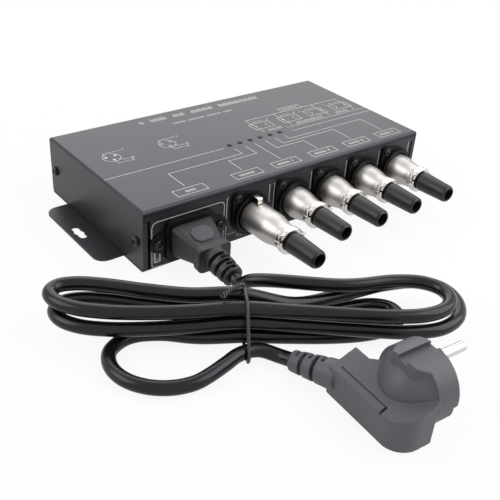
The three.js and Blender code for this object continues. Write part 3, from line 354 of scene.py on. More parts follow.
def runTree(holder, tree, **values):
    modifier = holder.modifiers.new(tree.name, "NODES")
    modifier.node_group = tree
    for item in tree.interface.items_tree:
        if item.in_out == "INPUT" and item.name in values:
            modifier[item.identifier] = values[item.name]
    shown = holder.evaluated_get(bpy.context.evaluated_depsgraph_get())
    mesh = bpy.data.meshes.new_from_object(shown)
    name = holder.name
    holder.modifiers.clear()
    old = holder.data
    bpy.data.objects.remove(holder)
    if isinstance(old, bpy.types.Mesh):
        bpy.data.meshes.remove(old)
    else:
        bpy.data.curves.remove(old)
    piece = newObject("made", mesh)
    piece.name = name
    return piece


def repeated(name, shape, spots, finish):
    # spots: place in millimetres, turn in radians and size of each copy
    mesh = bpy.data.meshes.new(name)
    mesh.from_pydata([tuple(c * mm for c in place) for place, _, _ in spots], [], [])
    for label, column in (("turn", 1), ("size", 2)):
        layer = mesh.attributes.new(label, "FLOAT_VECTOR", "POINT")
        layer.data.foreach_set("vector", [c for spot in spots for c in spot[column]])
    return runTree(newObject(name, mesh), repeatOnPoints, Shape=shape, Material=finish)


def tube(name, points, radius, finish, sides, step):
    data = bpy.data.curves.new(name, "CURVE")
    data.dimensions = "3D"
    spline = data.splines.new("POLY")
    spline.points.add(len(points) - 1)
    for spot, point in zip(spline.points, points):
        spot.co = (*(c * mm for c in point), 1.0)
    holder = newObject(name, data)
    piece = runTree(holder, tubeOnLine, Radius=radius * mm, Sides=sides, Step=step * mm, Material=finish)
    turnOut(piece.data)
    return piece


def turnOut(mesh):
    work = bmesh.new()
    work.from_mesh(mesh)
    bmesh.ops.remove_doubles(work, verts=work.verts, dist=0.001 * mm)
    bmesh.ops.recalc_face_normals(work, faces=work.faces)
    if work.calc_volume(signed=True) < 0:
        bmesh.ops.reverse_faces(work, faces=work.faces)
    work.to_mesh(mesh)
    work.free()


# shader helpers: expressions on a Value add its Math nodes
class Value:
    def __init__(self, owner, socket):
        self.owner = owner
        self.socket = socket

    def math(self, operation, other, swapped=False):
        pair = (other, self) if swapped else (self, other)
        return self.owner.node("ShaderNodeMath", {"operation": operation}, {0: pair[0], 1: pair[1]})

    def __add__(self, other):
        return self.math("ADD", other)

    def __rsub__(self, other):
        return self.math("SUBTRACT", other, True)

    def __mul__(self, other):
        return self.math("MULTIPLY", other)


class Finish:
    def __init__(self, name, constants=None):
        self.material = bpy.data.materials.new(name)
        self.material.use_nodes = True
        self.tree = self.material.node_tree
        self.shader = self.tree.nodes["Principled BSDF"]
        self.place = self.node("ShaderNodeTexCoord", output="Object")
        for socket, value in (constants or {}).items():
            self.shader.inputs[socket].default_value = value

    def node(self, kind, settings=None, inputs=None, output=0):
        made = self.tree.nodes.new(kind)
        for key, value in (settings or {}).items():
            setattr(made, key, value)
        for key, value in (inputs or {}).items():
            if isinstance(value, Value):
                self.tree.links.new(value.socket, made.inputs[key])
            else:
                made.inputs[key].default_value = value
        return Value(self, made.outputs[output])

    def noise(self, scale, detail, stretch=(1, 1, 1)):
        place = self.node("ShaderNodeMapping", None, {"Vector": self.place, "Scale": stretch})
        return self.node("ShaderNodeTexNoise", None, {"Vector": place, "Scale": scale, "Detail": detail})

    def between(self, value, low, high):
        return self.node("ShaderNodeMapRange", None, {"Value": value, "To Min": low, "To Max": high})

    def mask(self, value, low, high):
        return self.node("ShaderNodeMapRange", {"interpolation_type": "SMOOTHSTEP"},
                         {"Value": value, "From Min": low, "From Max": high})

    def colours(self, factor, first, second):
        return self.node("ShaderNodeMix", {"data_type": "RGBA"},
                         {"Factor": factor, 6: first, 7: second}, output=2)

    def bump(self, height, strength, distance):
        normal = self.node("ShaderNodeBump", None,
                           {"Height": height, "Strength": strength, "Distance": distance * mm})
        self.link("Normal", normal)

    def link(self, socket, value):
        self.tree.links.new(value.socket, self.shader.inputs[socket])


def grey(level, tint=(1, 1, 1)):
    return (level * tint[0], level * tint[1], level * tint[2], 1.0)


def coatedSheet():
    # black powder coat: fine grain, a faint cloudiness and a few paler flecks of dust
    tone = {"dark": grey(0.011, (1, 1, 1.12)), "pale": grey(0.016, (1, 1, 1.12)), "fleck": grey(0.06)}
    paint = Finish("coatedSheet", {"Specular IOR Level": 0.5, "Specular Tint": (0.88, 0.85, 1.0, 1.0)})
    grain = paint.noise(2600, 3)
    cloud = paint.noise(38, 3)
    fleck = paint.mask(paint.noise(900, 1), 0.74, 0.78)
    base = paint.colours(cloud, tone["dark"], tone["pale"])
    paint.link("Base Color", paint.colours(fleck * 0.5, base, tone["fleck"]))
    paint.link("Roughness", paint.between(grain * 0.7 + cloud * 0.3, 0.34, 0.48))
    paint.bump(grain, 0.22, 0.05)
    return paint.material


def platedNickel(name, level, low, high, lines):
    # turned lines run round the plug, and the plating is a little cloudy
    metal = Finish(name, {"Metallic": 1.0})
    rings = metal.noise(900, 3, (0.06, 1.6, 0.06))
    cloud = metal.noise(160, 3)
    dim, clear = grey(level, (1, 0.945, 0.90)), grey(level * 1.1, (1, 0.96, 0.925))
    metal.link("Base Color", metal.colours(cloud, dim, clear))
    metal.link("Roughness", metal.between(rings * 0.6 + cloud * 0.4, low, high))
    metal.bump(rings, lines, 0.06)
    return metal.material


def plainPlastic(name, level, low, high, bump=0.12, scale=1500, gloss=0.3, tint=(1, 1, 1.06)):
    plastic = Finish(name, {"Specular IOR Level": gloss})
    grain = plastic.noise(scale, 3)
    cloud = plastic.noise(70, 2)
    plastic.link("Base Color", plastic.colours(cloud, grey(level * 0.86, tint), grey(level * 1.14, tint)))
    plastic.link("Roughness", plastic.between(grain, low, high))
    plastic.bump(grain, bump, 0.05)
    return plastic.material


def glossyLead():
    # soft vinyl: glossy, with a slow waviness from the strands under it and handling marks
    vinyl = Finish("glossyLead", {"Specular IOR Level": 0.34, "Specular Tint": (0.9, 0.94, 1.0, 1.0)})
    wave = vinyl.noise(130, 2)
    mark = vinyl.noise(700, 3)
    vinyl.link("Base Color", vinyl.colours(wave, grey(0.003), grey(0.006, (1, 1, 1.15))))
    vinyl.link("Roughness", vinyl.between(mark, 0.15, 0.29))
    vinyl.bump(wave * 0.8 + mark * 0.2, 0.16, 0.25)
    return vinyl.material


def mottled(name, constants, noise, tones, rough, relief):
    # one noise drives the tone, the roughness and a faint relief
    made = Finish(name, constants)
    grain = made.noise(*noise)
    made.link("Base Color", made.colours(grain, *tones))
    made.link("Roughness", made.between(grain, *rough))
    made.bump(grain, *relief)
    return made.material


def solderMask():
    # green board whose tracks show as slightly paler lines under the mask
    board = Finish("solderMask", {"Specular IOR Level": 0.5})
    cells = board.node("ShaderNodeTexVoronoi", {"feature": "DISTANCE_TO_EDGE"},
                       {"Vector": board.place, "Scale": 160.0})
    track = 1 - board.mask(cells, 0.02, 0.05)
    grain = board.noise(900, 2)
    base = board.colours(track, (0.012, 0.075, 0.035, 1), (0.03, 0.16, 0.07, 1))
    board.link("Base Color", base)
    board.link("Roughness", board.between(grain, 0.25, 0.4))
    board.bump(track, 0.2, 0.04)
    return board.material


coat = coatedSheet()
nickel = platedNickel("platedNickel", 0.47, 0.34, 0.46, 0.22)
bright = platedNickel("brightNickel", 0.62, 0.18, 0.28, 0.05)
socketBlack = plainPlastic("socketBlack", 0.004, 0.30, 0.42, gloss=0.18)
bootBlack = plainPlastic("bootBlack", 0.012, 0.32, 0.42, 0.08, 700, gloss=0.35)
screwBlack = plainPlastic("screwBlack", 0.006, 0.22, 0.32, 0.06, 900, gloss=0.4)
# the connector and the wall plug are one moulded rubber; the wall plug's copy is painted lighter, as painted
# light standing in for the light that falls on the plug
rubber = plainPlastic("mouldedRubber", 0.012, 0.40, 0.54, 0.25, 1700, gloss=0.5, tint=(0.98, 0.97, 1.2))
plugRubber = plainPlastic("plugRubber", 0.082, 0.42, 0.56, 0.2, 1700, gloss=0.5, tint=(0.99, 0.98, 1.12))
grippyRubber = plainPlastic("grippyRubber", 0.07, 0.55, 0.7, 0.6, 1300, gloss=0.5, tint=(0.98, 0.97, 1.2))
leadVinyl = glossyLead()
tieFilm = plainPlastic("tieFilm", 0.03, 0.30, 0.42, 0.1, 600, gloss=0.5)
ink = mottled("printedInk", {}, (1400, 3), (grey(0.50), grey(0.72)), (0.5, 0.7), (0.1, 0.02))
lens = mottled("smokedLens", {"Specular IOR Level": 0.1}, (500, 2), (grey(0.003), grey(0.006)),
               (0.3, 0.45), (0.1, 0.05))
brass = mottled("brightBrass", {"Metallic": 1.0}, (1200, 3), ((0.62, 0.42, 0.17, 1), (0.75, 0.55, 0.26, 1)),
                (0.2, 0.36), (0.08, 0.03))
mask = solderMask()
print("materials made")


# camera, from the box's edges and its row of sockets
view = {"place": (-278.02, -350.06, 233.69), "azimuth": -39.852, "elevation": 32.263, "roll": 4.168,
        "focalPixels": 770.08, "pixels": 500, "sensor": 36.0, "clip": (0.01, 20.0)}


def makeCamera():
    azimuth, elevation, roll = (math.radians(view[key]) for key in ("azimuth", "elevation", "roll"))
    level = math.cos(elevation)
    back = Vector((math.sin(azimuth) * level, -math.cos(azimuth) * level, math.sin(elevation)))
    right = (-back).cross(Vector((0, 0, 1))).normalized()
    up = right.cross(-back)
    tiltedRight = right * math.cos(roll) + up * math.sin(roll)
    tiltedUp = up * math.cos(roll) - right * math.sin(roll)
    turn = Matrix((tiltedRight, tiltedUp, back)).transposed()
    data = bpy.data.cameras.new("camera")
    data.sensor_width = view["sensor"]
    data.lens = view["focalPixels"] / view["pixels"] * view["sensor"]
    data.clip_start, data.clip_end = view["clip"]
    camera = newObject("camera", data)
    camera.matrix_world = Matrix.Translation(Vector(view["place"]) * mm) @ turn.to_4x4()
    scene.camera = camera


makeCamera()

# the lead's route, point for point as the part has it
lead = {"radius": 3.5, "waist": (-94.0, -125.5), "turn": -30.0, "column": 5.6, "layer": 8.1, "ground": 3.6,
        "rise": 2.3, "riseReach": 34.0, "steps": 12, "open": 2.6, "sink": 0.1,
        "exit": (24.1, 2.1), "exitDip": 8.0, "exitLength": 18.3, "straight": 5.0, "pull": 10.0, "climb": 13.0,
        "ease": 18.0, "entrySteps": 6, "wideSteps": 25, "tailSteps": 8, "tailStart": 0.87, "groundSpan": 24,
        "span": 6, "sides": 24, "step": 1.6}
folds = [
    {"side": 1, "reach": 103, "swell": 11, "lean": 0.02, "start": 0.2, "ends": (1, -1), "layers": (2, 2)},
    {"side": -1, "reach": 88, "swell": 7, "lean": 0.16, "start": 0, "ends": (-1, 1), "layers": (2, 2)},
    {"side": 1, "reach": 111, "swell": 17, "lean": 0.075, "start": 0, "ends": (1, -1), "layers": (2, 1)},
    {"side": -1, "reach": 86, "swell": 8, "lean": 0.13, "start": 0, "ends": (-1, 1), "layers": (1, 1)},
    {"side": 1, "reach": 82, "swell": 8, "lean": 0.12, "start": 0, "ends": (1, -1), "layers": (1, 0)},
]
wideFold = [(0, -5.6), (-20, -3.5), (-38, 1), (-52, -1), (-60.5, -11), (-59, -23), (-51, -32), (-38, -36.5),
            (-24, -35), (-11.5, -27), (-1.5, -18.6), (7.5, -16)]
plug = {"x": -87.05, "y": -206.0, "turn": -4.0, "radius": 18.2, "back": 19.0, "face": 31.0,
        "dishAt": 6.5, "dishCurve": 2.2, "dish": 16.8, "dishSteps": 16, "rim": 18.8, "faceEase": 0.6,
        "sides": 96, "tab": (12.4, 5.6, 10.6), "tabShares": ((0.85, 0.85), (0.15, 0.3)), "tabEase": 1.5,
        "groove": (2.6, 2.2), "seam": (2.9, 3.6, -4.0, 24.0, 17.0), "nick": 1.2, "earth": (7.5, 9.0),
        "earthStart": 3, "offAxis": 0.001, "ease": 0.8, "cornerSteps": 10,
        "gripBack": 28.0, "gripFront": -18.0, "corner": 11.0, "thick": 14.0, "foot": 1.0, "low": 16.2,
        "high": 23.4, "neck": 7.0, "neckLength": 12.0, "reliefStart": 7.0, "reliefEnd": 5.0,
        "reliefLength": 23.0, "reliefX": 4.6, "reliefHeight": 9.2, "reliefTurn": 20.5, "reliefDip": -10.0,
        "reliefSlots": 3, "pin": 2.4, "pinLength": 19.0, "pinSpread": 9.5, "pinEase": 1.6, "pinSteps": 5,
        "pinSides": 32}


def atWaist(along, across, z):
    turn = math.radians(lead["turn"])
    x = lead["waist"][0] + along * math.cos(turn) - across * math.sin(turn)
    y = lead["waist"][1] + along * math.sin(turn) + across * math.cos(turn)
    return Vector((x, y, z + lead["rise"] * (1 - smoothStep(abs(along), 0, lead["riseReach"]))))


def foldPoints(fold):
    steps = round(lead["steps"] * (1 - fold["start"]))
    points = []
    for i in range(steps + 1):
        share = lerp(fold["start"], 1, i / steps)
        out, turn = max(0.0, math.sin(math.pi * share)), math.cos(math.pi * share)
        opened = fold["side"] * fold["swell"] * lead["open"] * out ** 2 * turn
        begin, end = (side * lead["column"] for side in fold["ends"])
        across = lerp(begin, end, (1 - turn) / 2) + opened + fold["lean"] * fold["reach"] * out ** 1.5
        layer = lerp(*fold["layers"], smoothStep(share, 0, lead["sink"]))
        height = lead["ground"] + lead["layer"] * layer
        points.append(atWaist(fold["side"] * fold["reach"] * out, across, height))
    return points


def entryPoints(first, second):
    # from the mouth of the connector's strain relief: straight out, then round to the first fold
    dip = math.radians(lead["exitDip"])
    way = Vector((0, -math.cos(dip), -math.sin(dip)))
    root = Vector((inlet["x"], front - lead["exit"][0], inlet["z"] - lead["exit"][1]))
    start = root + way * lead["exitLength"]
    bend = start + way * lead["straight"]
    pull = bend + way * lead["pull"] + Vector((0, 0, lead["climb"]))
    ease = first - (second - first).normalized() * lead["ease"]
    made = [start]
    for i in range(lead["entrySteps"]):
        t = i / lead["entrySteps"]
        made.append(bend * (1 - t) ** 3 + pull * 3 * t * (1 - t) ** 2
                    + ease * 3 * t * t * (1 - t) + first * t ** 3)
    return made


def plugPoint(x, y, z):
    turn = math.radians(plug["turn"])
    return Vector((plug["x"] + x * math.cos(turn) - y * math.sin(turn),
                   plug["y"] + x * math.sin(turn) + y * math.cos(turn), z))


def reliefWay():
    dip, turn = math.radians(plug["reliefDip"]), math.radians(plug["reliefTurn"])
    way = Vector((0, math.cos(dip), math.sin(dip)))
    return Vector((-way.y * math.sin(turn), way.y * math.cos(turn), way.z))


def wallMouth():
    way = reliefWay()
    root = Vector((plug["reliefX"], plug["gripBack"] - gap, plug["reliefHeight"]))
    spot = plugPoint(*(root + way * (plug["reliefLength"] + gap)))
    end = plugPoint(*(root + way * (plug["reliefLength"] + gap + 1)))
    return spot, (end - spot).normalized()


def smoothLine(points, perSpan):
    # the centripetal curve through the points
    held = [points[0] * 2 - points[1], *points, points[-1] * 2 - points[-2]]
    made = []
    for i in range(1, len(held) - 2):
        a, b, c, d = held[i - 1:i + 3]
        t0, t1, t2 = (max(1e-4, (q - p).length ** 0.5) for p, q in ((a, b), (b, c), (c, d)))
        m1 = ((b - a) / t0 - (c - a) / (t0 + t1) + (c - b) / t1) * t1
        m2 = ((c - b) / t1 - (d - b) / (t1 + t2) + (d - c) / t2) * t1
        for k in range(perSpan):
            t = k / perSpan
            made.append(b + m1 * t + (c * 3 - b * 3 - m1 * 2 - m2) * t ** 2
                        + (b * 2 - c * 2 + m1 + m2) * t ** 3)
    return [*made, points[-1]]


def lengthOf(points):
    return sum((b - a).length for a, b in zip(points, points[1:]))


def spacedOut(points, places):
    # the points at these distances along the line
    made, run, i = [], 0.0, 0
    for place in places:
        while i < len(points) - 2 and run + (points[i + 1] - points[i]).length < place:
            run += (points[i + 1] - points[i]).length
            i += 1
        span = (points[i + 1] - points[i]).length
        made.append(points[i].lerp(points[i + 1], min(1.0, (place - run) / span)))
    return made


def leadPoints():
    parts = [foldPoints(fold) for fold in folds]
    made = entryPoints(parts[0][0], parts[0][1]) + parts[0]
    for part in parts[1:]:
        made += part[1:]
    spot, way = wallMouth()
    ground = [atWaist(along, across, lead["ground"]) for along, across in wideFold]
    ground = smoothLine([*ground, spot + way * lead["radius"] * 2, spot], lead["groundSpan"])
    whole = lengthOf(ground)
    shares = [lead["tailStart"] * i / lead["wideSteps"] for i in range(1, lead["wideSteps"] + 1)]
    shares += [lerp(lead["tailStart"], 1, i / lead["tailSteps"]) for i in range(1, lead["tailSteps"] + 1)]
    return made + spacedOut(ground, [share * whole for share in shares])


def makeLead():
    route = smoothLine(leadPoints(), lead["span"])
    cord = tube("mains_lead_cord", route, lead["radius"], leadVinyl, lead["sides"], lead["step"])
    dress(cord, leadVinyl, "mains_lead", "cord_black", "mains_cord_hank", "mains_cord_tail", smooth=60)
    return cord, route


cord, route = makeLead()
print("lead made:", round(lengthOf(route)), "mm long")


# wire tie: round the waist of the hank, its ends twisted together over the bundle
tie = {"radius": 0.8, "clearance": 0.35, "place": 2.0, "tailAcross": -17.6, "cornerSteps": 8, "sides": 12,
       "step": 0.8, "heading": ((0, 5), (-10, -3))}
twist = {"length": 14.0, "radius": 0.62, "turns": 4.5, "wire": 0.5, "arch": 1.6, "parting": 0.7,
         "spread": 3.0, "points": 60, "sides": 8, "step": 0.3}


def tiePath():
    off = lead["radius"] + tie["radius"] + tie["clearance"]
    top = lead["ground"] + lead["layer"] * 2
    corners = [(lead["column"], top, 45, 0), (lead["column"], lead["ground"], 0, -90),
               (tie["tailAcross"], lead["ground"], -90, -225), (-lead["column"], top, -225, -270),
               (lead["column"], top, -270, -285)]
    made = []
    for across, z, begin, end in corners:
        for i in range(tie["cornerSteps"] + 1):
            a = math.radians(lerp(begin, end, i / tie["cornerSteps"]))
            made.append(atWaist(tie["place"], across + off * math.cos(a), z + off * math.sin(a)))
    return made, atWaist(tie["place"], lead["column"], top + off)


def twistedStrand(start, way, phase):
    up = Vector((0, 0, 1))
    side = way.cross(up).normalized()
    strand = []
    for i in range(twist["points"] + 1):
        share = i / twist["points"]
        angle = phase + share * twist["turns"] * tau
        spread = twist["radius"] * (1 + max(0.0, share - twist["parting"]) * twist["spread"])
        centre = start + way * (share * twist["length"]) + up * (twist["arch"] * math.sin(share * math.pi))
        strand.append(centre + (side * math.cos(angle) + up * math.sin(angle)) * spread)
    return tube("tieStrand", strand, twist["wire"], tieFilm, twist["sides"], twist["step"])


def makeTie():
    loop, knot = tiePath()
    begin, end = tie["heading"]
    way = (atWaist(*end, 0) - atWaist(*begin, 0)).normalized()
    start = knot + Vector((0, 0, tie["radius"]))
    pieces = [tube("tieLoop", loop, tie["radius"], tieFilm, tie["sides"], tie["step"])]
    pieces += [twistedStrand(start, way, phase) for phase in (0.0, math.pi)]
    return dress(joined("wire_tie", pieces), tieFilm, "mains_lead", "tie_wire", "twist_tie", smooth=60)


wireTie = makeTie()
print("tie made")


# box: the folded sheets with their eased edges
def onFold(spot):
    # the outer corners between the top and the walls
    def near(value, place):
        return abs(abs(value) - place) < box["near"]

    atWall = near(spot.x, box["length"] / 2) or near(spot.y, box["depth"] / 2)
    return spot.z > box["height"] - box["near"] and atWall


def makeBox():
    dressNode("base_tray", coat, "black_sheet", box["edge"])
    dressNode("top_cover", coat, "black_sheet", box["edge"], fold=onFold, bend=box["bend"])
    guide = frame["nodes"]["indicator_light_guide"]
    guide.data.materials.clear()
    guide.data.materials.append(lens)


makeBox()
print("box made")

# prints: flat marks a hair above the sheet, in millimetres from the box's front left corner
prints = {"thick": 0.03, "line": 0.42, "fine": 0.34, "lift": 0.03, "layers": 5, "layerShare": 0.02,
          "unit": 500, "discSides": 20}
barRow = {"low": 0.74, "stride": 7, "every": 3}
topMarks = {
    "rules": [[(1.1, 41.9), (81.6, 41.9)], [(135.4, 41.6), (206.3, 41.6)]],
    "fineRule": [(135.6, 47.1), (206.3, 47.1)],
    "lights": [87.1, 94.9, 102.6, 110.5, 118.3, 126.1], "leaderTop": 37.9,
    "leaders": [(30.6, 34.9, 14.2), (26.6, 73.9, 13.8), (None, 102.4, 13.6), (26.5, 131.7, 13.6),
                (29.9, 160.4, 13.6), (33.4, 188.0, 13.6)],  # each one's bend, far end and foot
    "boxes": [(25.2, 44.8), (64.3, 83.4), (92.9, 112), (122, 141.3), (150.7, 169.7), (178.6, 197.3)],
    "boxRow": (4.9, 11.6), "wordRow": 7.2, "words": [(-3.0, 10), (-5.4, 16), (-6.6, 14)],
    "word": (0.66, 1.9, 0.34), "number": (4.2, 7.1, 2.1, 0.42),
    "title": (57.3, 96.8, [2, 8, 6, 12, 22], 1.48, 4.0, 0.6, 0.3, 3.4),
    "lineBelow": (75.6, 87.4, [10, 14, 12, 8], 0.94, 1.9, 0.36, 0.1, 2.0),
}
poleMarks = {
    "places": [(18.2, 64.4), (55.9, 64.4)], "radius": 5.3, "opening": (100, 440), "steps": 28, "ring": 0.36,
    "leaders": [[(-2.6, 4.9), (-2.6, 6.6), (9.3, 6.6)], [(2.4, -3), (4.6, -5.2), (9.3, -5.2)],
                [(0, -3.4), (0, -8), (8, -8)]],
    "numbers": [("1", 10.4, 5.7), ("2", 10.4, -6.1), ("3", 9.0, -8.9)], "number": (1.9, 0.34),
    "poles": [(-3.1, 1.3), (3.1, 1.8), (0, -3.2)], "pin": 2, "hole": 1.0, "holeSteps": 12, "holeLine": 0.3,
}
switchMarks = {
    "bus": 69, "busEnds": [(118.5, 150), (167.4, 198)], "supply": (150, 167.4, 69, 74.4),
    "supplyBars": (152.6, 70.7, [7], 1.9, 2, 0.6),
    "switches": [(116.1, 1), (139.4, 1), (177.5, -1), (200, -1)], "length": 15.2, "body": (53.8, 62.4),
    "drop": 2.5, "dropEnd": 49, "flag": (2.2, 65.6), "arrow": [(2.6, 60.4), (4.8, 57.8), (2.6, 55.6)],
    "stub": (2, 3, 64.6), "groups": [(123, 6), (146.5, 12), (181.5, 6)], "group": (2, 2.6, 0.62),
    "groupRow": 48.6, "dots": [119, 142, 175, 197.4], "dotRow": 58.4, "dot": 1.6,
}
frontMarks = {
    "lines": [[(6.2, 1.7), (5.4, 3), (5.4, 26), (6.4, 28.3), (8.6, 29.2), (49.4, 29.2), (51.5, 28.4),
               (52.2, 26.4), (52.2, 1.4)],
              [(6.2, 1.7), (15, 1.2)], [(53.9, 1.4), (53.9, 29.6), (54.7, 31)],
              [(55, 6.7), (66, 6.7)]],
    "posts": [84.2, 87.7, 116.1, 144.9, 173.7, 201], "postEnds": (2, 31),
    "bars": [(62, 3, [7], 1.5, 2.2, 0.5), (98.6, 3, [2, 1], 2.4, 2.4, 0.55)],
    "fuse": (7.1, 10.3, 4.6, 12, 1.0), "fuseDot": [(8.7, 6.2), (8.7, 6.5)], "fuseDotWidth": 0.7,
}
unitBlock = block("unitBlock", (-prints["unit"],) * 3, (prints["unit"],) * 3)
discOutline = circle(prints["unit"], prints["discSides"])
unitDisc = prism("unitDisc", discOutline, -prints["unit"], prints["unit"], asGiven)
for shape in (unitBlock, unitDisc):
    shape.hide_render = shape.hide_viewport = True


def chain(points, width=None):
    # strokes along a bent line, each as its two ends and width
    return [(a, b, width or prints["line"]) for a, b in zip(points, points[1:])]


def frameOf(x0, x1, y0, y1, width=None):
    return chain([(x0, y0), (x1, y0), (x1, y1), (x0, y1), (x0, y0)], width)


def arcOf(x, y, radius, begin, end, steps):
    angles = [math.radians(lerp(begin, end, i / steps)) for i in range(steps + 1)]
    return [(x + radius * math.cos(angle), y + radius * math.sin(angle)) for angle in angles]


digits = {  # strokes of plain numbers in a cell of 1 by 2
    "1": [[(0.2, 1.6), (0.6, 2), (0.6, 0)]],
    "2": [[(0, 2), (1, 2), (1, 1), (0, 1), (0, 0), (1, 0)]],
    "3": [[(0, 2), (1, 2), (1, 0), (0, 0)], [(0.2, 1), (1, 1)]],
    "4": [[(0, 2), (0, 1), (1, 1)], [(1, 2), (1, 0)]],
}


def number(digit, x, y, height, width):
    cell = height / 2
    made = []
    for line in digits[digit]:
        made += chain([(x + u * cell, y + v * cell) for u, v in line], width)
    return made


def bars(x, y, counts, pitch, height, width, slant=0.0, space=1.0):
    # groups of short upright bars where lettering would stand
    made, at = [], x
    for count in counts:
        for k in range(count):
            tall = height * (1.0 if (k * barRow["stride"] + count) % barRow["every"] else barRow["low"])
            made.append(((at, y), (at + slant, y + tall), width))
            at += pitch
        at += pitch * space
    return made


def topStrokes():
    made = [stroke for rule in topMarks["rules"] for stroke in chain(rule)]
    made += chain(topMarks["fineRule"], prints["fine"])
    start = topMarks["leaderTop"]
    for x, (bend, far, low) in zip(topMarks["lights"], topMarks["leaders"]):
        bent = [(x, start), (x, bend), (far, bend), (far, low)]
        made += chain(bent if bend else [(far, start), (far, low)])
    # name boxes over the inlet and the five sockets
    for k, (x0, x1) in enumerate(topMarks["boxes"]):
        middle = (x0 + x1) / 2
        shift, count = topMarks["words"][min(k, 2)]
        made += frameOf(x0, x1, *topMarks["boxRow"])
        made += bars(middle + shift, topMarks["wordRow"], [count], *topMarks["word"])
        if k > 1:
            shift, row, height, weight = topMarks["number"]
            made += number(str(k - 1), middle + shift, row, height, weight)
    made += bars(*topMarks["title"]) + bars(*topMarks["lineBelow"])
    for x, y in poleMarks["places"]:
        made += poleSymbol(x, y)
    return made + switchSymbols()


def poleSymbol(x, y):
    # face of a three pole socket with numbered poles
    ring = arcOf(x, y, poleMarks["radius"], *poleMarks["opening"], poleMarks["steps"])
    made = chain(ring, poleMarks["ring"])
    for leader in poleMarks["leaders"]:
        made += chain([(x + u, y + v) for u, v in leader], prints["fine"])
    for digit, u, v in poleMarks["numbers"]:
        made += number(digit, x + u, y + v, *poleMarks["number"])
    return made


def switchSymbols():
    # a bus with a drop to each of four switched outputs
    marks, bus = switchMarks, switchMarks["bus"]
    made = [stroke for x0, x1 in marks["busEnds"] for stroke in chain([(x0, bus), (x1, bus)])]
    made += frameOf(*marks["supply"]) + bars(*marks["supplyBars"])
    low, high = marks["body"]
    for x, way in marks["switches"]:
        far, drop = x + way * marks["length"], x + way * marks["drop"]
        made += frameOf(min(x, far), max(x, far), low, high)
        made += chain([(drop, bus), (drop, marks["dropEnd"])])
        reach, top = marks["flag"]
        made += chain([(far, high), (far + way * reach, top)], prints["fine"])
        made += chain([(far - way * u, v) for u, v in marks["arrow"]], prints["fine"])
        begin, end, row = marks["stub"]
        made += chain([(drop + way * begin, row), (far - way * end, row)], prints["fine"])
    for x, count in marks["groups"]:
        made += bars(x, marks["groupRow"], [count], *marks["group"])
    return made


def frontStrokes():
    made = [stroke for line in frontMarks["lines"] for stroke in chain(line)]
    foot, head = frontMarks["postEnds"]
    for x in frontMarks["posts"]:
        made += chain([(x, foot), (x, head)])
    for group in frontMarks["bars"]:
        made += bars(*group)
    return made + frameOf(*frontMarks["fuse"]) + chain(frontMarks["fuseDot"], frontMarks["fuseDotWidth"])


def strokeSpots(strokes, place, turn):
    spots = []
    for i, (a, b, width) in enumerate(strokes):
        way = Vector(b) - Vector(a)
        angle = math.atan2(way.y, way.x)
        lift = prints["lift"] + prints["thick"] * prints["layerShare"] * (i % prints["layers"])
        size = ((way.length + width) * mm, width * mm, prints["thick"] * mm)
        spots.append((place((a[0] + b[0]) / 2, (a[1] + b[1]) / 2, lift), turn(angle), size))
    return spots


def makePrints():
    def onTop(u, v, w):
        return (left + u, front + v, box["height"] + w)

    def onFront(u, v, w):
        return (left + u, front - w, v)

    def flatTurn(angle):
        return (0, 0, angle)

    def upright(angle):
        return (math.pi / 2, -angle, 0)

    top = repeated("top_print", unitBlock, strokeSpots(topStrokes(), onTop, flatTurn), ink)
    pinned, pierced = poleMarks["places"]
    dots = [(pinned[0] + u, pinned[1] + v, poleMarks["pin"]) for u, v in poleMarks["poles"]]
    dots += [(x, switchMarks["dotRow"], switchMarks["dot"]) for x in switchMarks["dots"]]
    dotSpots = [(onTop(x, y, prints["lift"]), flatTurn(0), (size * mm, size * mm, prints["thick"] * mm))
                for x, y, size in dots]
    spotted = repeated("top_print_dots", unitDisc, dotSpots, ink)
    rings = []
    for u, v in poleMarks["poles"]:
        ring = arcOf(pierced[0] + u, pierced[1] + v, poleMarks["hole"], 0, 360, poleMarks["holeSteps"])
        rings += chain(ring, poleMarks["holeLine"])
    ringed = repeated("top_print_rings", unitBlock, strokeSpots(rings, onTop, flatTurn), ink)
    face = repeated("front_print", unitBlock, strokeSpots(frontStrokes(), onFront, upright), ink)
    for piece in (top, spotted, ringed, face):
        dress(piece, ink, "box", "clear_lens", smooth=20)


makePrints()
print("prints made")


# screws: one domed cross head, repeated wherever the part has one
screw = {"radius": 2.8, "height": 1.7, "rim": 0.7, "dome": [(0.86, 0.78), (0.5, 0.97)], "foot": 0.3,
         "ease": 0.18, "sides": 32, "edge": 0.07, "slotLength": 3.2, "slotWidth": 0.75, "slotDepth": 1.1,
         "slotOver": 0.5, "smooth": 40, "seed": 7, "spin": 1.5}
screwPlaces = {"sideLift": 0.3, "sideInset": 6.5, "sideHeight": 17, "inletLift": 0.1, "small": 0.86}


def screwHead():
    r, h = screw["radius"], screw["height"]
    dome = [(r * across, h * up) for across, up in screw["dome"]]
    profile = [(0, -screw["foot"]), (r, -screw["foot"]), (r, screw["rim"]), *dome, (0, h)]
    head = turned("screwHead", profile, 0, 0, screw["sides"], screw["ease"])
    head.data.transform(Matrix.Translation((0, -front * mm, 0)))
    w, l = screw["slotWidth"] / 2, screw["slotLength"] / 2
    top, low = h + screw["slotOver"], h - screw["slotDepth"]
    carve(head, [block("slot", (-l, -top, -w), (l, -low, w)), block("slot", (-w, -top, -l), (w, -low, l))])
    edged(head, screw["edge"], 1, screw["smooth"])
    head.hide_render = head.hide_viewport = True
    head.data.shade_smooth()
    head.data.set_sharp_from_angle(angle=math.radians(screw["smooth"]))
    return head


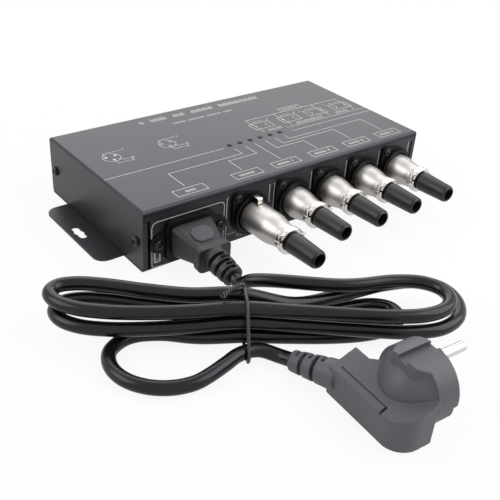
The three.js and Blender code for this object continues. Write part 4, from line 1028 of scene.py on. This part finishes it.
def makeScrews():
    head = screwHead()
    random.seed(screw["seed"])

    def spot(x, y, z, heading, size=1.0):
        return ((x, y, z), (0, random.uniform(0, screw["spin"]), heading), (size, size, size))

    side = box["length"] / 2 + screwPlaces["sideLift"]
    inset = box["depth"] / 2 - screwPlaces["sideInset"]
    quarter = math.pi / 2
    corners = [("front_left", -side, -inset, -quarter), ("back_left", -side, inset, -quarter),
               ("front_right", side, -inset, quarter), ("back_right", side, inset, quarter)]
    for node, x, y, heading in corners:
        place = spot(x, y, screwPlaces["sideHeight"], heading)
        piece = repeated("cover_screw_" + node + "_head", head, [place], screwBlack)
        dress(piece, screwBlack, "box", "black_screw", "cover_screw_" + node)
    for name, offset in (("left", -1), ("right", 1)):
        y = front - inlet["plate"] - screwPlaces["inletLift"]
        place = spot(inlet["x"] + offset * inlet["screwSide"], y, inlet["z"], 0)
        piece = repeated("inlet_screw_" + name + "_head", head, [place], screwBlack)
        dress(piece, screwBlack, "box", "black_screw", "mains_inlet_screw_" + name)
    spots = [spot(x + dx, front - sockets["flange"], sockets["height"] + dz, 0, screwPlaces["small"])
             for x in [inputX, *outputXs] for dx, dz in sockets["screws"]]
    dress(repeated("socket_screws", head, spots, screwBlack), screwBlack, "box", "black_screw")


makeScrews()
print("screws made")


# sockets, with the raised rim eased
def makeSockets():
    for node in ("input_socket", "output_socket_1", "output_socket_2", "output_socket_3", "output_socket_4"):
        dressNode(node, socketBlack, "black_plastic", sockets["edge"], smooth=sockets["smooth"])
    dressNode("mains_inlet", socketBlack, "black_plastic", inlet["edge"], inlet["segments"])


makeSockets()
print("sockets made")

# plugs: lengths run out of the box's front
shell = {"radius": 9.2, "wall": 1.1, "rear": 7.5, "bore": 5.2, "engaged": 14.5, "outLength": 21.3,
         "inLength": 34.2, "step": 0.55, "insert": 7.7, "shoulder": 3.8, "taper": 7.9, "tail": 5.1,
         "shoulderAt": 0.44, "shoulderDrop": 0.32, "eye": 0.8, "eyePlace": 3.6, "sides": 96, "mouthEase": 0.3,
         "swell": 2.6, "waist": 2.2, "tailEase": 0.55, "ease": 0.2, "smooth": 32}
collar = {"length": 4.0, "radius": 8.2, "bevel": 0.8, "slit": 1.0, "groove": 0.25, "turn": 14.0, "sides": 72,
          "foreEase": 0.25, "aftEase": 0.3, "ease": 0.15, "edge": 0.08, "edgeAngle": 50, "hollowSides": 48}
lug = {"reach": 1.5, "height": 6.4, "ease": 0.45, "segments": 3}
bolt = {"radius": 0.9, "head": 1.95, "rise": 1.0, "hole": 0.95, "deep": 0.9, "sunk": 0.2, "sides": 20,
        "footEase": 0.1, "headEase": 0.35, "holeEase": 0.08}
boot = {"radius": 6.1, "tip": 5.25, "length": 21.9, "bore": 3.7, "spigot": 5.0, "round": 1.2, "taper": 0.9,
        "rootEase": 0.3, "swell": 1.2, "endEase": 1.0, "rimEase": 0.6, "rimShare": 0.7, "boreEase": 0.4,
        "sides": 72, "ease": 0.2, "smooth": 40}
latch = {"width": 3.3, "length": 5.0, "top": 13.0, "inset": 0.5, "chamfer": 0.6, "travel": 1.2, "thick": 0.55,
         "core": 0.86, "clear": 0.15, "ease": 0.12}
insertEdge = 0.2
insertGap = 0.1


def turnAbout(piece, degrees, x, z):
    centre = Vector((x * mm, 0, z * mm))
    turn = Matrix.Rotation(math.radians(degrees), 4, "Y")
    piece.data.transform(Matrix.Translation(centre) @ turn @ Matrix.Translation(-centre))


def shellSides(start, length):
    # straight, over a rounded shoulder, down to a straight tail
    rear = length - shell["tail"]
    fore = rear - shell["taper"]
    radius = lerp(shell["radius"], shell["rear"], shell["shoulderDrop"])
    shoulder = (radius, lerp(fore, rear, shell["shoulderAt"]), shell["swell"])
    return [(shell["radius"], start, shell["mouthEase"]), (shell["radius"], fore, shell["swell"]), shoulder,
            (shell["rear"], rear, shell["waist"]), (shell["rear"], length, shell["tailEase"])]


def outputShell(k, x):
    z, r, wall, length = sockets["height"], shell["radius"], shell["wall"], shell["outLength"]
    inner, step = r - wall, length * shell["step"]
    profile = [(inner, -shell["engaged"]), *shellSides(-shell["engaged"], length), (shell["bore"], length),
               (shell["bore"], step + wall), (inner - wall, step), (inner, step - wall)]
    piece = turned(f"output_plug_{k}_nickel_shell", profile, x, z, shell["sides"], shell["ease"])
    eye = prism("eye", circle(shell["eye"]), z + r / 2, z + r * 1.5,
                lambda u, v, w: (x + u, front - shell["eyePlace"] + v, w))
    carve(piece, [eye])
    dress(piece, nickel, f"output_plug_{k}", "nickel", f"output_plug_{k}_shell", smooth=shell["smooth"])


def inputShell():
    z, r, length = sockets["height"], shell["radius"], shell["inLength"]
    bore, step = shell["insert"] + insertGap, length * shell["step"]
    profile = [(bore, shell["shoulder"]), *shellSides(shell["shoulder"], length), (shell["bore"], length),
               (shell["bore"], step), (bore, step)]
    piece = turned("input_plug_nickel_shell", profile, inputX, z, shell["sides"], shell["ease"])
    half = latch["width"] / 2 + gap
    y = front - shell["shoulder"]
    slot = block("slot", (inputX - half, y - latch["inset"] - latch["length"] - gap, z + bore + gap),
                 (inputX + half, y + overrun, z + r + overrun))
    carve(piece, [slot])
    dress(piece, nickel, "input_plug", "nickel", "input_plug_shell", smooth=shell["smooth"])


def inputLatch():
    # a bent metal tab over a dark core
    z = sockets["height"]
    y = front - shell["shoulder"] - latch["inset"]
    foot = z + shell["insert"] + insertGap + latch["travel"] + gap + latch["clear"]
    top, far = z + latch["top"], y - latch["length"]
    bend, thick, half = latch["chamfer"], latch["thick"], latch["width"] / 2

    def across(u, v, w):
        return (inputX + w, u, v)

    under = [(far + bend + thick / 2, top - thick), (far + thick, top - bend - thick / 2)]
    outline = [(far + thick, foot), (far, foot), (far, top - bend), (far + bend, top), (y, top),
               (y, top - thick), *under]
    tab = prism("input_plug_latch_tab", outline, -half, half, across)
    edged(tab, latch["ease"], 2)
    dress(tab, bright, "input_latch", "nickel", "input_plug_latch")
    outline = [(y - thick, foot), (far + thick, foot), *reversed(under), (y - thick, top - thick)]
    half *= latch["core"]
    core = prism("input_plug_latch_core", outline, -half, half, across)
    dress(core, socketBlack, "input_latch", "black_plastic")


def clampBolt(x, middle, z):
    half = lug["height"] / 2
    top, hole = half + bolt["rise"], bolt["hole"]
    profile = [(0, -half - bolt["sunk"]), (bolt["radius"], -half - bolt["sunk"]), (bolt["radius"], half),
               (bolt["head"], half, bolt["footEase"]), (bolt["head"], top, bolt["headEase"]),
               (hole, top, bolt["holeEase"]), (hole, top - bolt["deep"]), (0, top - bolt["deep"])]
    made = turned("bolt", profile, 0, 0, bolt["sides"], bolt["footEase"])
    upright = Matrix.Rotation(math.radians(-90), 4, "X")
    made.data.transform(Matrix.Translation(Vector((x, middle, z)) * mm) @ upright
                        @ Matrix.Translation((0, -front * mm, 0)))
    return made


def clampRing(name, x, start):
    # a ring split on its left, with a lug and a screw on each side
    z = sockets["height"]
    out0, out1 = start + gap + collar["groove"], start + collar["length"]
    r, bevel, half = collar["radius"], collar["bevel"], lug["height"] / 2
    reach, inner = r + lug["reach"], r - bevel
    profile = [(shell["bore"], out0), (r, out0, collar["foreEase"]), (r, out1 - bevel, collar["aftEase"]),
               (inner, out1, collar["aftEase"]), (shell["bore"], out1)]
    ring = turned("ring", profile, x, z, collar["sides"], collar["ease"])
    sides = block("lugs", (x - reach, front - out1 + bevel, z - half), (x + reach, front - out0, z + half))
    edged(sides, lug["ease"], lug["segments"])
    hollow = turned("hollow", [(0, out0 - overrun), (inner, out0 - overrun), (inner, out1 + overrun),
                               (0, out1 + overrun)], x, z, collar["hollowSides"])
    carve(sides, [hollow])
    carve(ring, [sides], "UNION")
    slit = block("slit", (x - reach - overrun, front - out1 - overrun, z - collar["slit"] / 2),
                 (x, front - out0 + overrun, z + collar["slit"] / 2))
    carve(ring, [slit])
    edged(ring, collar["edge"], 1, collar["edgeAngle"])
    middle = front - (out0 + out1 - bevel) / 2
    made = joined(name + "_nickel_clamp", [ring, clampBolt(x - r, middle, z), clampBolt(x + r, middle, z)])
    turnAbout(made, collar["turn"], x, z)
    dress(made, bright, name, "nickel", name + "_clamp", smooth=shell["smooth"])


def cableBoot(name, x, start):
    end = start + collar["length"] + gap
    tip, inner, around = end + boot["length"], shell["bore"] - gap, boot["round"]
    profile = [(boot["bore"], end - boot["spigot"]), (inner, end - boot["spigot"]), (inner, end),
               (boot["radius"] - around / 2, end, boot["rootEase"]),
               (boot["radius"], end + around, boot["swell"]),
               (lerp(boot["radius"], boot["tip"], boot["taper"]), tip - around, boot["endEase"]),
               (boot["tip"] - around * boot["rimShare"], tip, boot["rimEase"]),
               (boot["bore"], tip, boot["boreEase"])]
    sleeve = turned(name + "_cable_boot", profile, x, sockets["height"], boot["sides"], boot["ease"])
    dress(sleeve, bootBlack, name, "boot_plastic", name + "_boot", smooth=boot["smooth"])


def makePlugs():
    for k, x in enumerate(outputXs, 1):
        name = f"output_plug_{k}"
        outputShell(k, x)
        clampRing(name, x, shell["outLength"])
        cableBoot(name, x, shell["outLength"])
        dressNode(name + "_insert", socketBlack, "black_plastic", insertEdge)
    inputShell()
    inputLatch()
    clampRing("input_plug", inputX, shell["inLength"])
    cableBoot("input_plug", inputX, shell["inLength"])
    dressNode("input_plug_insert", socketBlack, "black_plastic", insertEdge)


makePlugs()
print("plugs made")

# mains connector: a grip that tapers and falls to a collar, a rough pad on top and a slotted strain relief
connector = {"face": 3.3, "width": 26.4, "height": 18.6, "endWidth": 17.8, "endHeight": 12.0, "length": 17.0,
             "drop": 1.7, "power": 1.15, "steps": 12, "lower": 3.2, "upper": 2.0, "cornerShare": 0.3,
             "collar": (20.8, 14.6), "collarCorner": 3.0, "collarLength": 4.8, "collarDrop": 2.1, "ease": 1.2,
             "reliefStart": 7.1, "reliefEnd": 5.8, "reliefLength": 18.0, "dip": 8.0, "sunk": 1.0, "slots": 3}
relief = {"slot": 2.0, "neck": 0.12, "slotShare": 0.35, "sides": 64, "coreSides": 40, "ease": 0.9,
          "slotEase": 0.7}
pad = {"size": (12.5, 9.6), "start": 5.4, "corner": 2.6, "rise": 0.9, "ease": 0.5, "edge": 0.35}
inletCup = {"length": 24.6, "height": 16.8, "chamfer": 4.6, "depth": 17.0, "floor": 2.0}
blade = {"pitch": 7, "high": 1.6, "low": -2, "slitWide": 1.3, "slitHigh": 2.3}


def corneredOutline(width, height, lower, upper):
    w, h = width / 2, height / 2
    a, b = lower * connector["cornerShare"], upper * connector["cornerShare"]
    outline = [(-w + lower, -h), (w - lower, -h), (w - a, -h + a), (w, -h + lower), (w, h - upper),
               (w - b, h - b), (w - upper, h), (-w + upper, h), (-w + b, h - b), (-w, h - upper),
               (-w, -h + lower), (-w + a, -h + a)]
    return roundCorners(outline, connector["ease"])


def lofted(name, sections):
    # a closed body through outlines with as many points each
    count = len(sections[0])
    points = [point for section in sections for point in section]
    last = (len(sections) - 1) * count
    faces = [list(range(count)), list(range(last, last + count))]
    for start in range(0, last, count):
        for k in range(count):
            n = (k + 1) % count
            faces.append([start + k, start + n, start + count + n, start + count + k])
    return newPiece(name, points, faces)


def gripSections(grow=0.0):
    made = []
    for i in range(connector["steps"] + 1):
        share = i / connector["steps"]
        taper = share ** connector["power"]
        outline = corneredOutline(lerp(connector["width"], connector["endWidth"], taper) + grow,
                                  lerp(connector["height"], connector["endHeight"], taper) + grow,
                                  connector["lower"], connector["upper"])
        y = front - connector["face"] - share * connector["length"]
        made.append([(inlet["x"] + u, y, inlet["z"] + v - taper * connector["drop"]) for u, v in outline])
    return made


def slottedRelief(start, end, length, slots):
    # points out of the origin along -Y; slots come in from the left and the right in turn
    neck = length * relief["neck"]
    profile = [(0, -overrun), (start, -overrun), (start, neck), (end, length), (0, length)]
    made = turned("relief", profile, 0, 0, relief["sides"], relief["ease"])
    step = (length - neck) / slots
    reach = end * relief["slotShare"]
    cuts = []
    for i in range(slots * 2 - 1):
        y = -neck - (i + relief["slotShare"] * 2) * step / 2
        x0, x1 = (-reach, start * 2) if i % 2 else (-start * 2, reach)
        low = y - relief["slot"]
        outline = roundCorners([(x0, low), (x1, low), (x1, y), (x0, y)], relief["slotEase"])
        cuts.append(prism("slot", outline, -start * 2, start * 2, asGiven))
    radius = end * (1 - relief["slotShare"])
    profile = [(0, -overrun), (radius, -overrun), (radius, length), (0, length)]
    core = turned("core", profile, 0, 0, relief["coreSides"])
    for piece in (made, core):
        piece.data.transform(Matrix.Translation((0, -front * mm, 0)))
    carve(made, cuts)
    return carve(made, [core], "UNION")


def connectorNose():
    # the tongue in the inlet's cup, slit for the three blades
    w, h, c = inletCup["length"] / 2 - gap, inletCup["height"] / 2 - gap, inletCup["chamfer"]
    outline = [(-w + c, -h), (w - c, -h), (w, -h + c), (w, h), (-w, h), (-w, -h + c)]
    near, far = front - connector["face"] - overrun, front + inletCup["depth"] - inletCup["floor"] - gap
    nose = alongY("nose", outline, near, far, inlet["x"], inlet["z"])
    slits = []
    for side in (-1, 0, 1):
        x, z = inlet["x"] + side * blade["pitch"], inlet["z"] + (blade["high"] if side else blade["low"])
        slits.append(block("slit", (x - blade["slitWide"], front - overrun, z - blade["slitHigh"]),
                           (x + blade["slitWide"], far + overrun, z + blade["slitHigh"])))
    return carve(nose, slits)


def gripPad():
    # an eight sided pad that follows the top of the grip
    w, l = pad["size"][0] / 2, pad["size"][1] / 2
    c, middle = pad["corner"], front - connector["face"] + gap - pad["start"] - l
    outline = [(-w + c, -l), (w - c, -l), (w, -l + c), (w, l - c), (w - c, l), (-w + c, l), (-w, l - c),
               (-w, -l + c)]
    plan = roundCorners([(u, middle + v) for u, v in outline], pad["ease"])
    low, high = inlet["z"] + connector["height"] / 4, inlet["z"] + connector["height"]
    made = prism("mains_connector_pad", plan, low, high, lambda u, v, w: (inlet["x"] + u, v, w))
    carve(made, [lofted("padTop", gripSections(pad["rise"] * 2))], "INTERSECT")
    return edged(made, pad["edge"])


def makeConnector():
    sections = gripSections()
    grip = lofted("grip", [*sections, [(x, y - overrun, z) for x, y, z in sections[-1]]])
    outline = corneredOutline(*connector["collar"], connector["collarCorner"], connector["upper"])
    y = front - connector["face"] - connector["length"]
    back = y - connector["collarLength"]
    ring = lofted("ring", [[(inlet["x"] + u, place, inlet["z"] + v - drop) for u, v in outline]
                           for place, drop in ((y, connector["drop"]), (back, connector["collarDrop"]))])
    tail = slottedRelief(connector["reliefStart"], connector["reliefEnd"], connector["reliefLength"],
                         connector["slots"])
    root = Vector((inlet["x"], back + connector["sunk"], inlet["z"] - connector["collarDrop"]))
    dip = Matrix.Rotation(math.radians(connector["dip"]), 4, "X")
    tail.data.transform(Matrix.Translation(root * mm) @ dip)
    made = moulded(joined("connector", [grip, ring, tail]))
    made = joined("mains_connector_moulding", [made, connectorNose()])
    dress(made, rubber, "mains_lead", "grey_rubber", "mains_connector", smooth=skin["smooth"])
    return made, dress(gripPad(), grippyRubber, "mains_lead", "grey_rubber")


connectorPieces = makeConnector()
print("connector made")


# wall plug: a wedge-shaped grip into a round shroud, on its side
def plugPlace(u, v, w):
    return tuple(plugPoint(u, v, w))


def plugTurned(name, profile, segments, rise=0.0):
    # profile: radius and place along the pins; the axis lies at the shroud's radius and rise above the ground
    piece = turned(name, profile, 0, 0, segments)
    toX = Matrix(((0, -1, 0, 0), (1, 0, 0, 0), (0, 0, 1, 0), (0, 0, 0, 1)))
    spot = plugPoint(0, 0, plug["radius"] + rise) * mm
    turn = Matrix.Rotation(math.radians(plug["turn"]), 4, "Z")
    piece.data.transform(Matrix.Translation(spot) @ turn @ toX @ Matrix.Translation((0, -front * mm, 0)))
    return piece


def plugGrip():
    back, thick, start, end = plug["back"], plug["thick"], plug["gripFront"], plug["gripBack"]
    off = plug["offAxis"]
    side = [(off, plug["foot"]), (back + off, plug["foot"]), (back + off, plug["high"]), (off, plug["low"])]
    grip = prism("grip", roundCorners(side, plug["ease"]), start, end, lambda u, v, w: plugPlace(u, w, v))
    corner = arcOf(plug["corner"], start + plug["corner"], plug["corner"], 180, 270, plug["cornerSteps"])
    outline = [(off, end), *corner, (back, start), (back, plug["neckLength"]),
               (thick, plug["neckLength"] + plug["neck"]), (thick, end)]
    keep = prism("keep", outline, -overrun, plug["high"] + overrun * 2, plugPlace)
    return carve(grip, [keep], "INTERSECT")


def plugShroud():
    # the flat of the grip runs into a domed back, and the rim reaches further back at the top, where the
    # guide groove starts
    r, rim, face, ease, sides = plug["radius"], plug["rim"], plug["face"], plug["faceEase"], plug["sides"]
    profile = [(0, plug["dishAt"])]
    for i in range(1, plug["dishSteps"] + 1):
        share = i / plug["dishSteps"]
        profile.append((plug["dish"] * share, lerp(plug["dishAt"], rim, share ** plug["dishCurve"])))
    profile += [(r, rim), (r, face - ease), (r - ease, face), (0, face)]
    shroud = plugTurned("shroud", profile, sides)
    start, half, foot = plug["tab"]
    outline = [(rim + 1, -foot)]
    for along, aside in plug["tabShares"]:
        outline.append((lerp(start, rim, along), -lerp(half, foot, aside)))
    outline.append((start, 1 - half))
    outline += [(u, -v) for u, v in reversed(outline)]
    tab = prism("tab", roundCorners(outline, plug["tabEase"]), r * 1.5, (r + 1) * 2, plugPlace)
    around = [(0, start - 1), (r, start - 1), (r, rim + overrun), (0, rim + overrun)]
    return [shroud, carve(tab, [plugTurned("round", around, sides)], "INTERSECT")]


def plugRelief():
    made = slottedRelief(plug["reliefStart"], plug["reliefEnd"], plug["reliefLength"], plug["reliefSlots"])
    spin = (Matrix.Rotation(math.radians(plug["reliefTurn"]), 4, "Z")
            @ Matrix.Rotation(math.radians(plug["reliefDip"]), 4, "X") @ Matrix.Rotation(math.pi, 4, "Z"))
    root = Vector((plug["reliefX"], plug["gripBack"] - gap, plug["reliefHeight"]))
    turn = Matrix.Rotation(math.radians(plug["turn"]), 4, "Z")
    made.data.transform(Matrix.Translation(Vector((plug["x"], plug["y"], 0)) * mm) @ turn
                        @ Matrix.Translation(root * mm) @ spin)
    return made


def plugCuts():
    # guide grooves and earth recesses above and below, and a seam with a nick along the grip's top
    r, face = plug["radius"], plug["face"] + overrun
    width, deep = plug["groove"]
    first, long = plug["earth"]
    cuts = []
    for s, back in ((-1, plug["back"]), (1, plug["tab"][0] - overrun)):
        low, high = sorted((s * (r - deep), s * (r + overrun)))
        outline = [(back, -width), (face, -width), (face, width), (back, width)]
        cuts.append(prism("guide", outline, r + low, r + high, plugPlace))
        low, high = sorted((s * (r - overrun), s * (r + overrun)))
        recess = plug["rim"] + plug["earthStart"]
        outline = [(recess, low), (face, low), (face, high), (recess, high)]
        cuts.append(prism("earth", outline, first, first + long, plugPlace))
    near, far, low, high, depth = plug["seam"]
    cuts.append(prism("seam", [(near, low), (far, low), (far, high), (near, high)], depth, r * 2, plugPlace))
    end, floor = low - plug["nick"], depth - plug["nick"] * 1.5
    cuts.append(prism("nick", [(-1, end), (far, end), (far, low), (-1, low)], floor, r * 2, plugPlace))
    return cuts


def makeWallPlug():
    body = joined("wallBody", [plugGrip(), *plugShroud(), plugRelief()])
    moulded(body)
    carve(body, plugCuts())
    body.name = "wall_plug_moulding"
    # painted light: the plug's rubber is a lighter copy of the connector's, standing in for the light it
    # catches
    dress(body, plugRubber, "mains_lead", "grey_rubber", "wall_plug", smooth=skin["smooth"])
    pieces = [body]
    radius, root, tip = plug["pin"], plug["face"] - 1, plug["face"] + plug["pinLength"]
    profile = [(0, root), (radius, root), (radius, tip), (0, tip)]
    profile = roundCorners(profile, plug["pinEase"], plug["pinSteps"])
    for name, s in (("line", 1), ("neutral", -1)):
        pin = plugTurned("wall_plug_" + name + "_round_pin", profile, plug["pinSides"], s * plug["pinSpread"])
        dress(pin, bright, "mains_lead", "nickel", "wall_plug_pin_" + name, smooth=skin["smooth"])
        pieces.append(pin)
    return pieces


wallPieces = makeWallPlug()
print("wall plug made")


# inside: the board and what stands on it, each with the ease of its edges
insideEdges = {"board": 0.1, "pillar": 0.15, "chip": 0.25, "module": 0.5, "capacitor": 0.3, "fuse": 0.15,
               "blade": 0.25}


def makeInside():
    dressNode("main_board", mask, "board_green", insideEdges["board"])
    for k in range(1, 5):
        dressNode(f"board_pillar_{k}", brass, "brass", insideEdges["pillar"])
        dressNode(f"driver_chip_{k}", socketBlack, "black_plastic", insideEdges["chip"])
    dressNode("power_module", socketBlack, "black_plastic", insideEdges["module"])
    for k in (1, 2):
        dressNode(f"capacitor_{k}", bright, "black_plastic", insideEdges["capacitor"])
    dressNode("mains_fuse", bright, "nickel", insideEdges["fuse"])
    for name in ("line", "earth", "neutral"):
        dressNode("mains_inlet_blade_" + name, brass, "brass", insideEdges["blade"])


makeInside()
print("inside made")

route[0] * mm
lengthOf(route) * mm
[tuple(p * mm) for p in route]

# stage: plain floor, soft boxes and a white surround
stage = {"floor": 3.0, "drop": 0.0002, "floorTone": 0.85, "mottle": 1.02, "rough": 0.9, "surround": 0.32,
         "glow": {"Is Camera Ray": 0.9, "Is Glossy Ray": 0.6, "Is Transmission Ray": 0.9},
         "lampAim": (0, 0, 0.02)}


def makeStage():
    half, z = stage["floor"], -stage["drop"]
    mesh = bpy.data.meshes.new("floor")
    corners = [(-half, -half, z), (half, -half, z), (half, half, z), (-half, half, z)]
    mesh.from_pydata(corners, [], [(0, 1, 2, 3)])
    floor = newObject("floor", mesh)
    card = Finish("floorCard", {"Roughness": stage["rough"]})
    grain = card.noise(3, 2)
    tone = stage["floorTone"]
    card.link("Base Color", card.colours(grain, grey(tone), grey(tone * stage["mottle"])))
    glow = card.node("ShaderNodeEmission", None, {"Color": (1, 1, 1, 1), "Strength": 1.0})
    seen = card.node("ShaderNodeLightPath").socket.node.outputs
    camera, glossy, through = (Value(card, seen[key]) * share for key, share in stage["glow"].items())
    plain = Value(card, card.shader.outputs[0])
    mixed = card.node("ShaderNodeMixShader", None, {"Fac": camera + glossy + through, 1: plain, 2: glow})
    card.tree.links.new(mixed.socket, card.tree.nodes["Material Output"].inputs["Surface"])
    floor.data.materials.append(card.material)

    world = bpy.data.worlds.new("surround")
    scene.world = world
    world.use_nodes = True
    tree = world.node_tree
    background = tree.nodes["Background"]
    background.inputs["Color"].default_value = (1, 1, 1, 1)
    lightPath = tree.nodes.new("ShaderNodeLightPath")
    strength = None
    for key in stage["glow"]:
        step = tree.nodes.new("ShaderNodeMath")
        step.operation = "MAXIMUM"
        tree.links.new(lightPath.outputs[key], step.inputs[0])
        if strength:
            tree.links.new(strength, step.inputs[1])
        else:
            step.inputs[1].default_value = stage["surround"]
        strength = step.outputs[0]
    tree.links.new(strength, background.inputs["Strength"])


lamps = {
    "backTop": {"place": (0.52, 0.93, 0.91), "size": 1.5, "power": 10.0},
    "rightFill": {"place": (0.74, -0.74, 0.9), "size": 1.3, "power": 15.0},
    "leftFill": {"place": (-1.2, 0.35, 0.9), "size": 1.0, "power": 9.0},
}


def makeLamps():
    for name, lamp in lamps.items():
        data = bpy.data.lights.new(name, "AREA")
        data.size = lamp["size"]
        data.energy = lamp["power"]
        made = newObject(name, data)
        made.location = lamp["place"]
        way = Vector(stage["lampAim"]) - Vector(lamp["place"])
        made.rotation_euler = way.to_track_quat("-Z", "Y").to_euler()


makeStage()
makeLamps()
scene.view_settings.view_transform = "Standard"
hidden = [o for o in bpy.data.objects if o.type == "MESH" and o.hide_render]
for leftover in [o for o in hidden if "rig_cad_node" not in o]:
    bpy.data.objects.remove(leftover)
print("stage made")
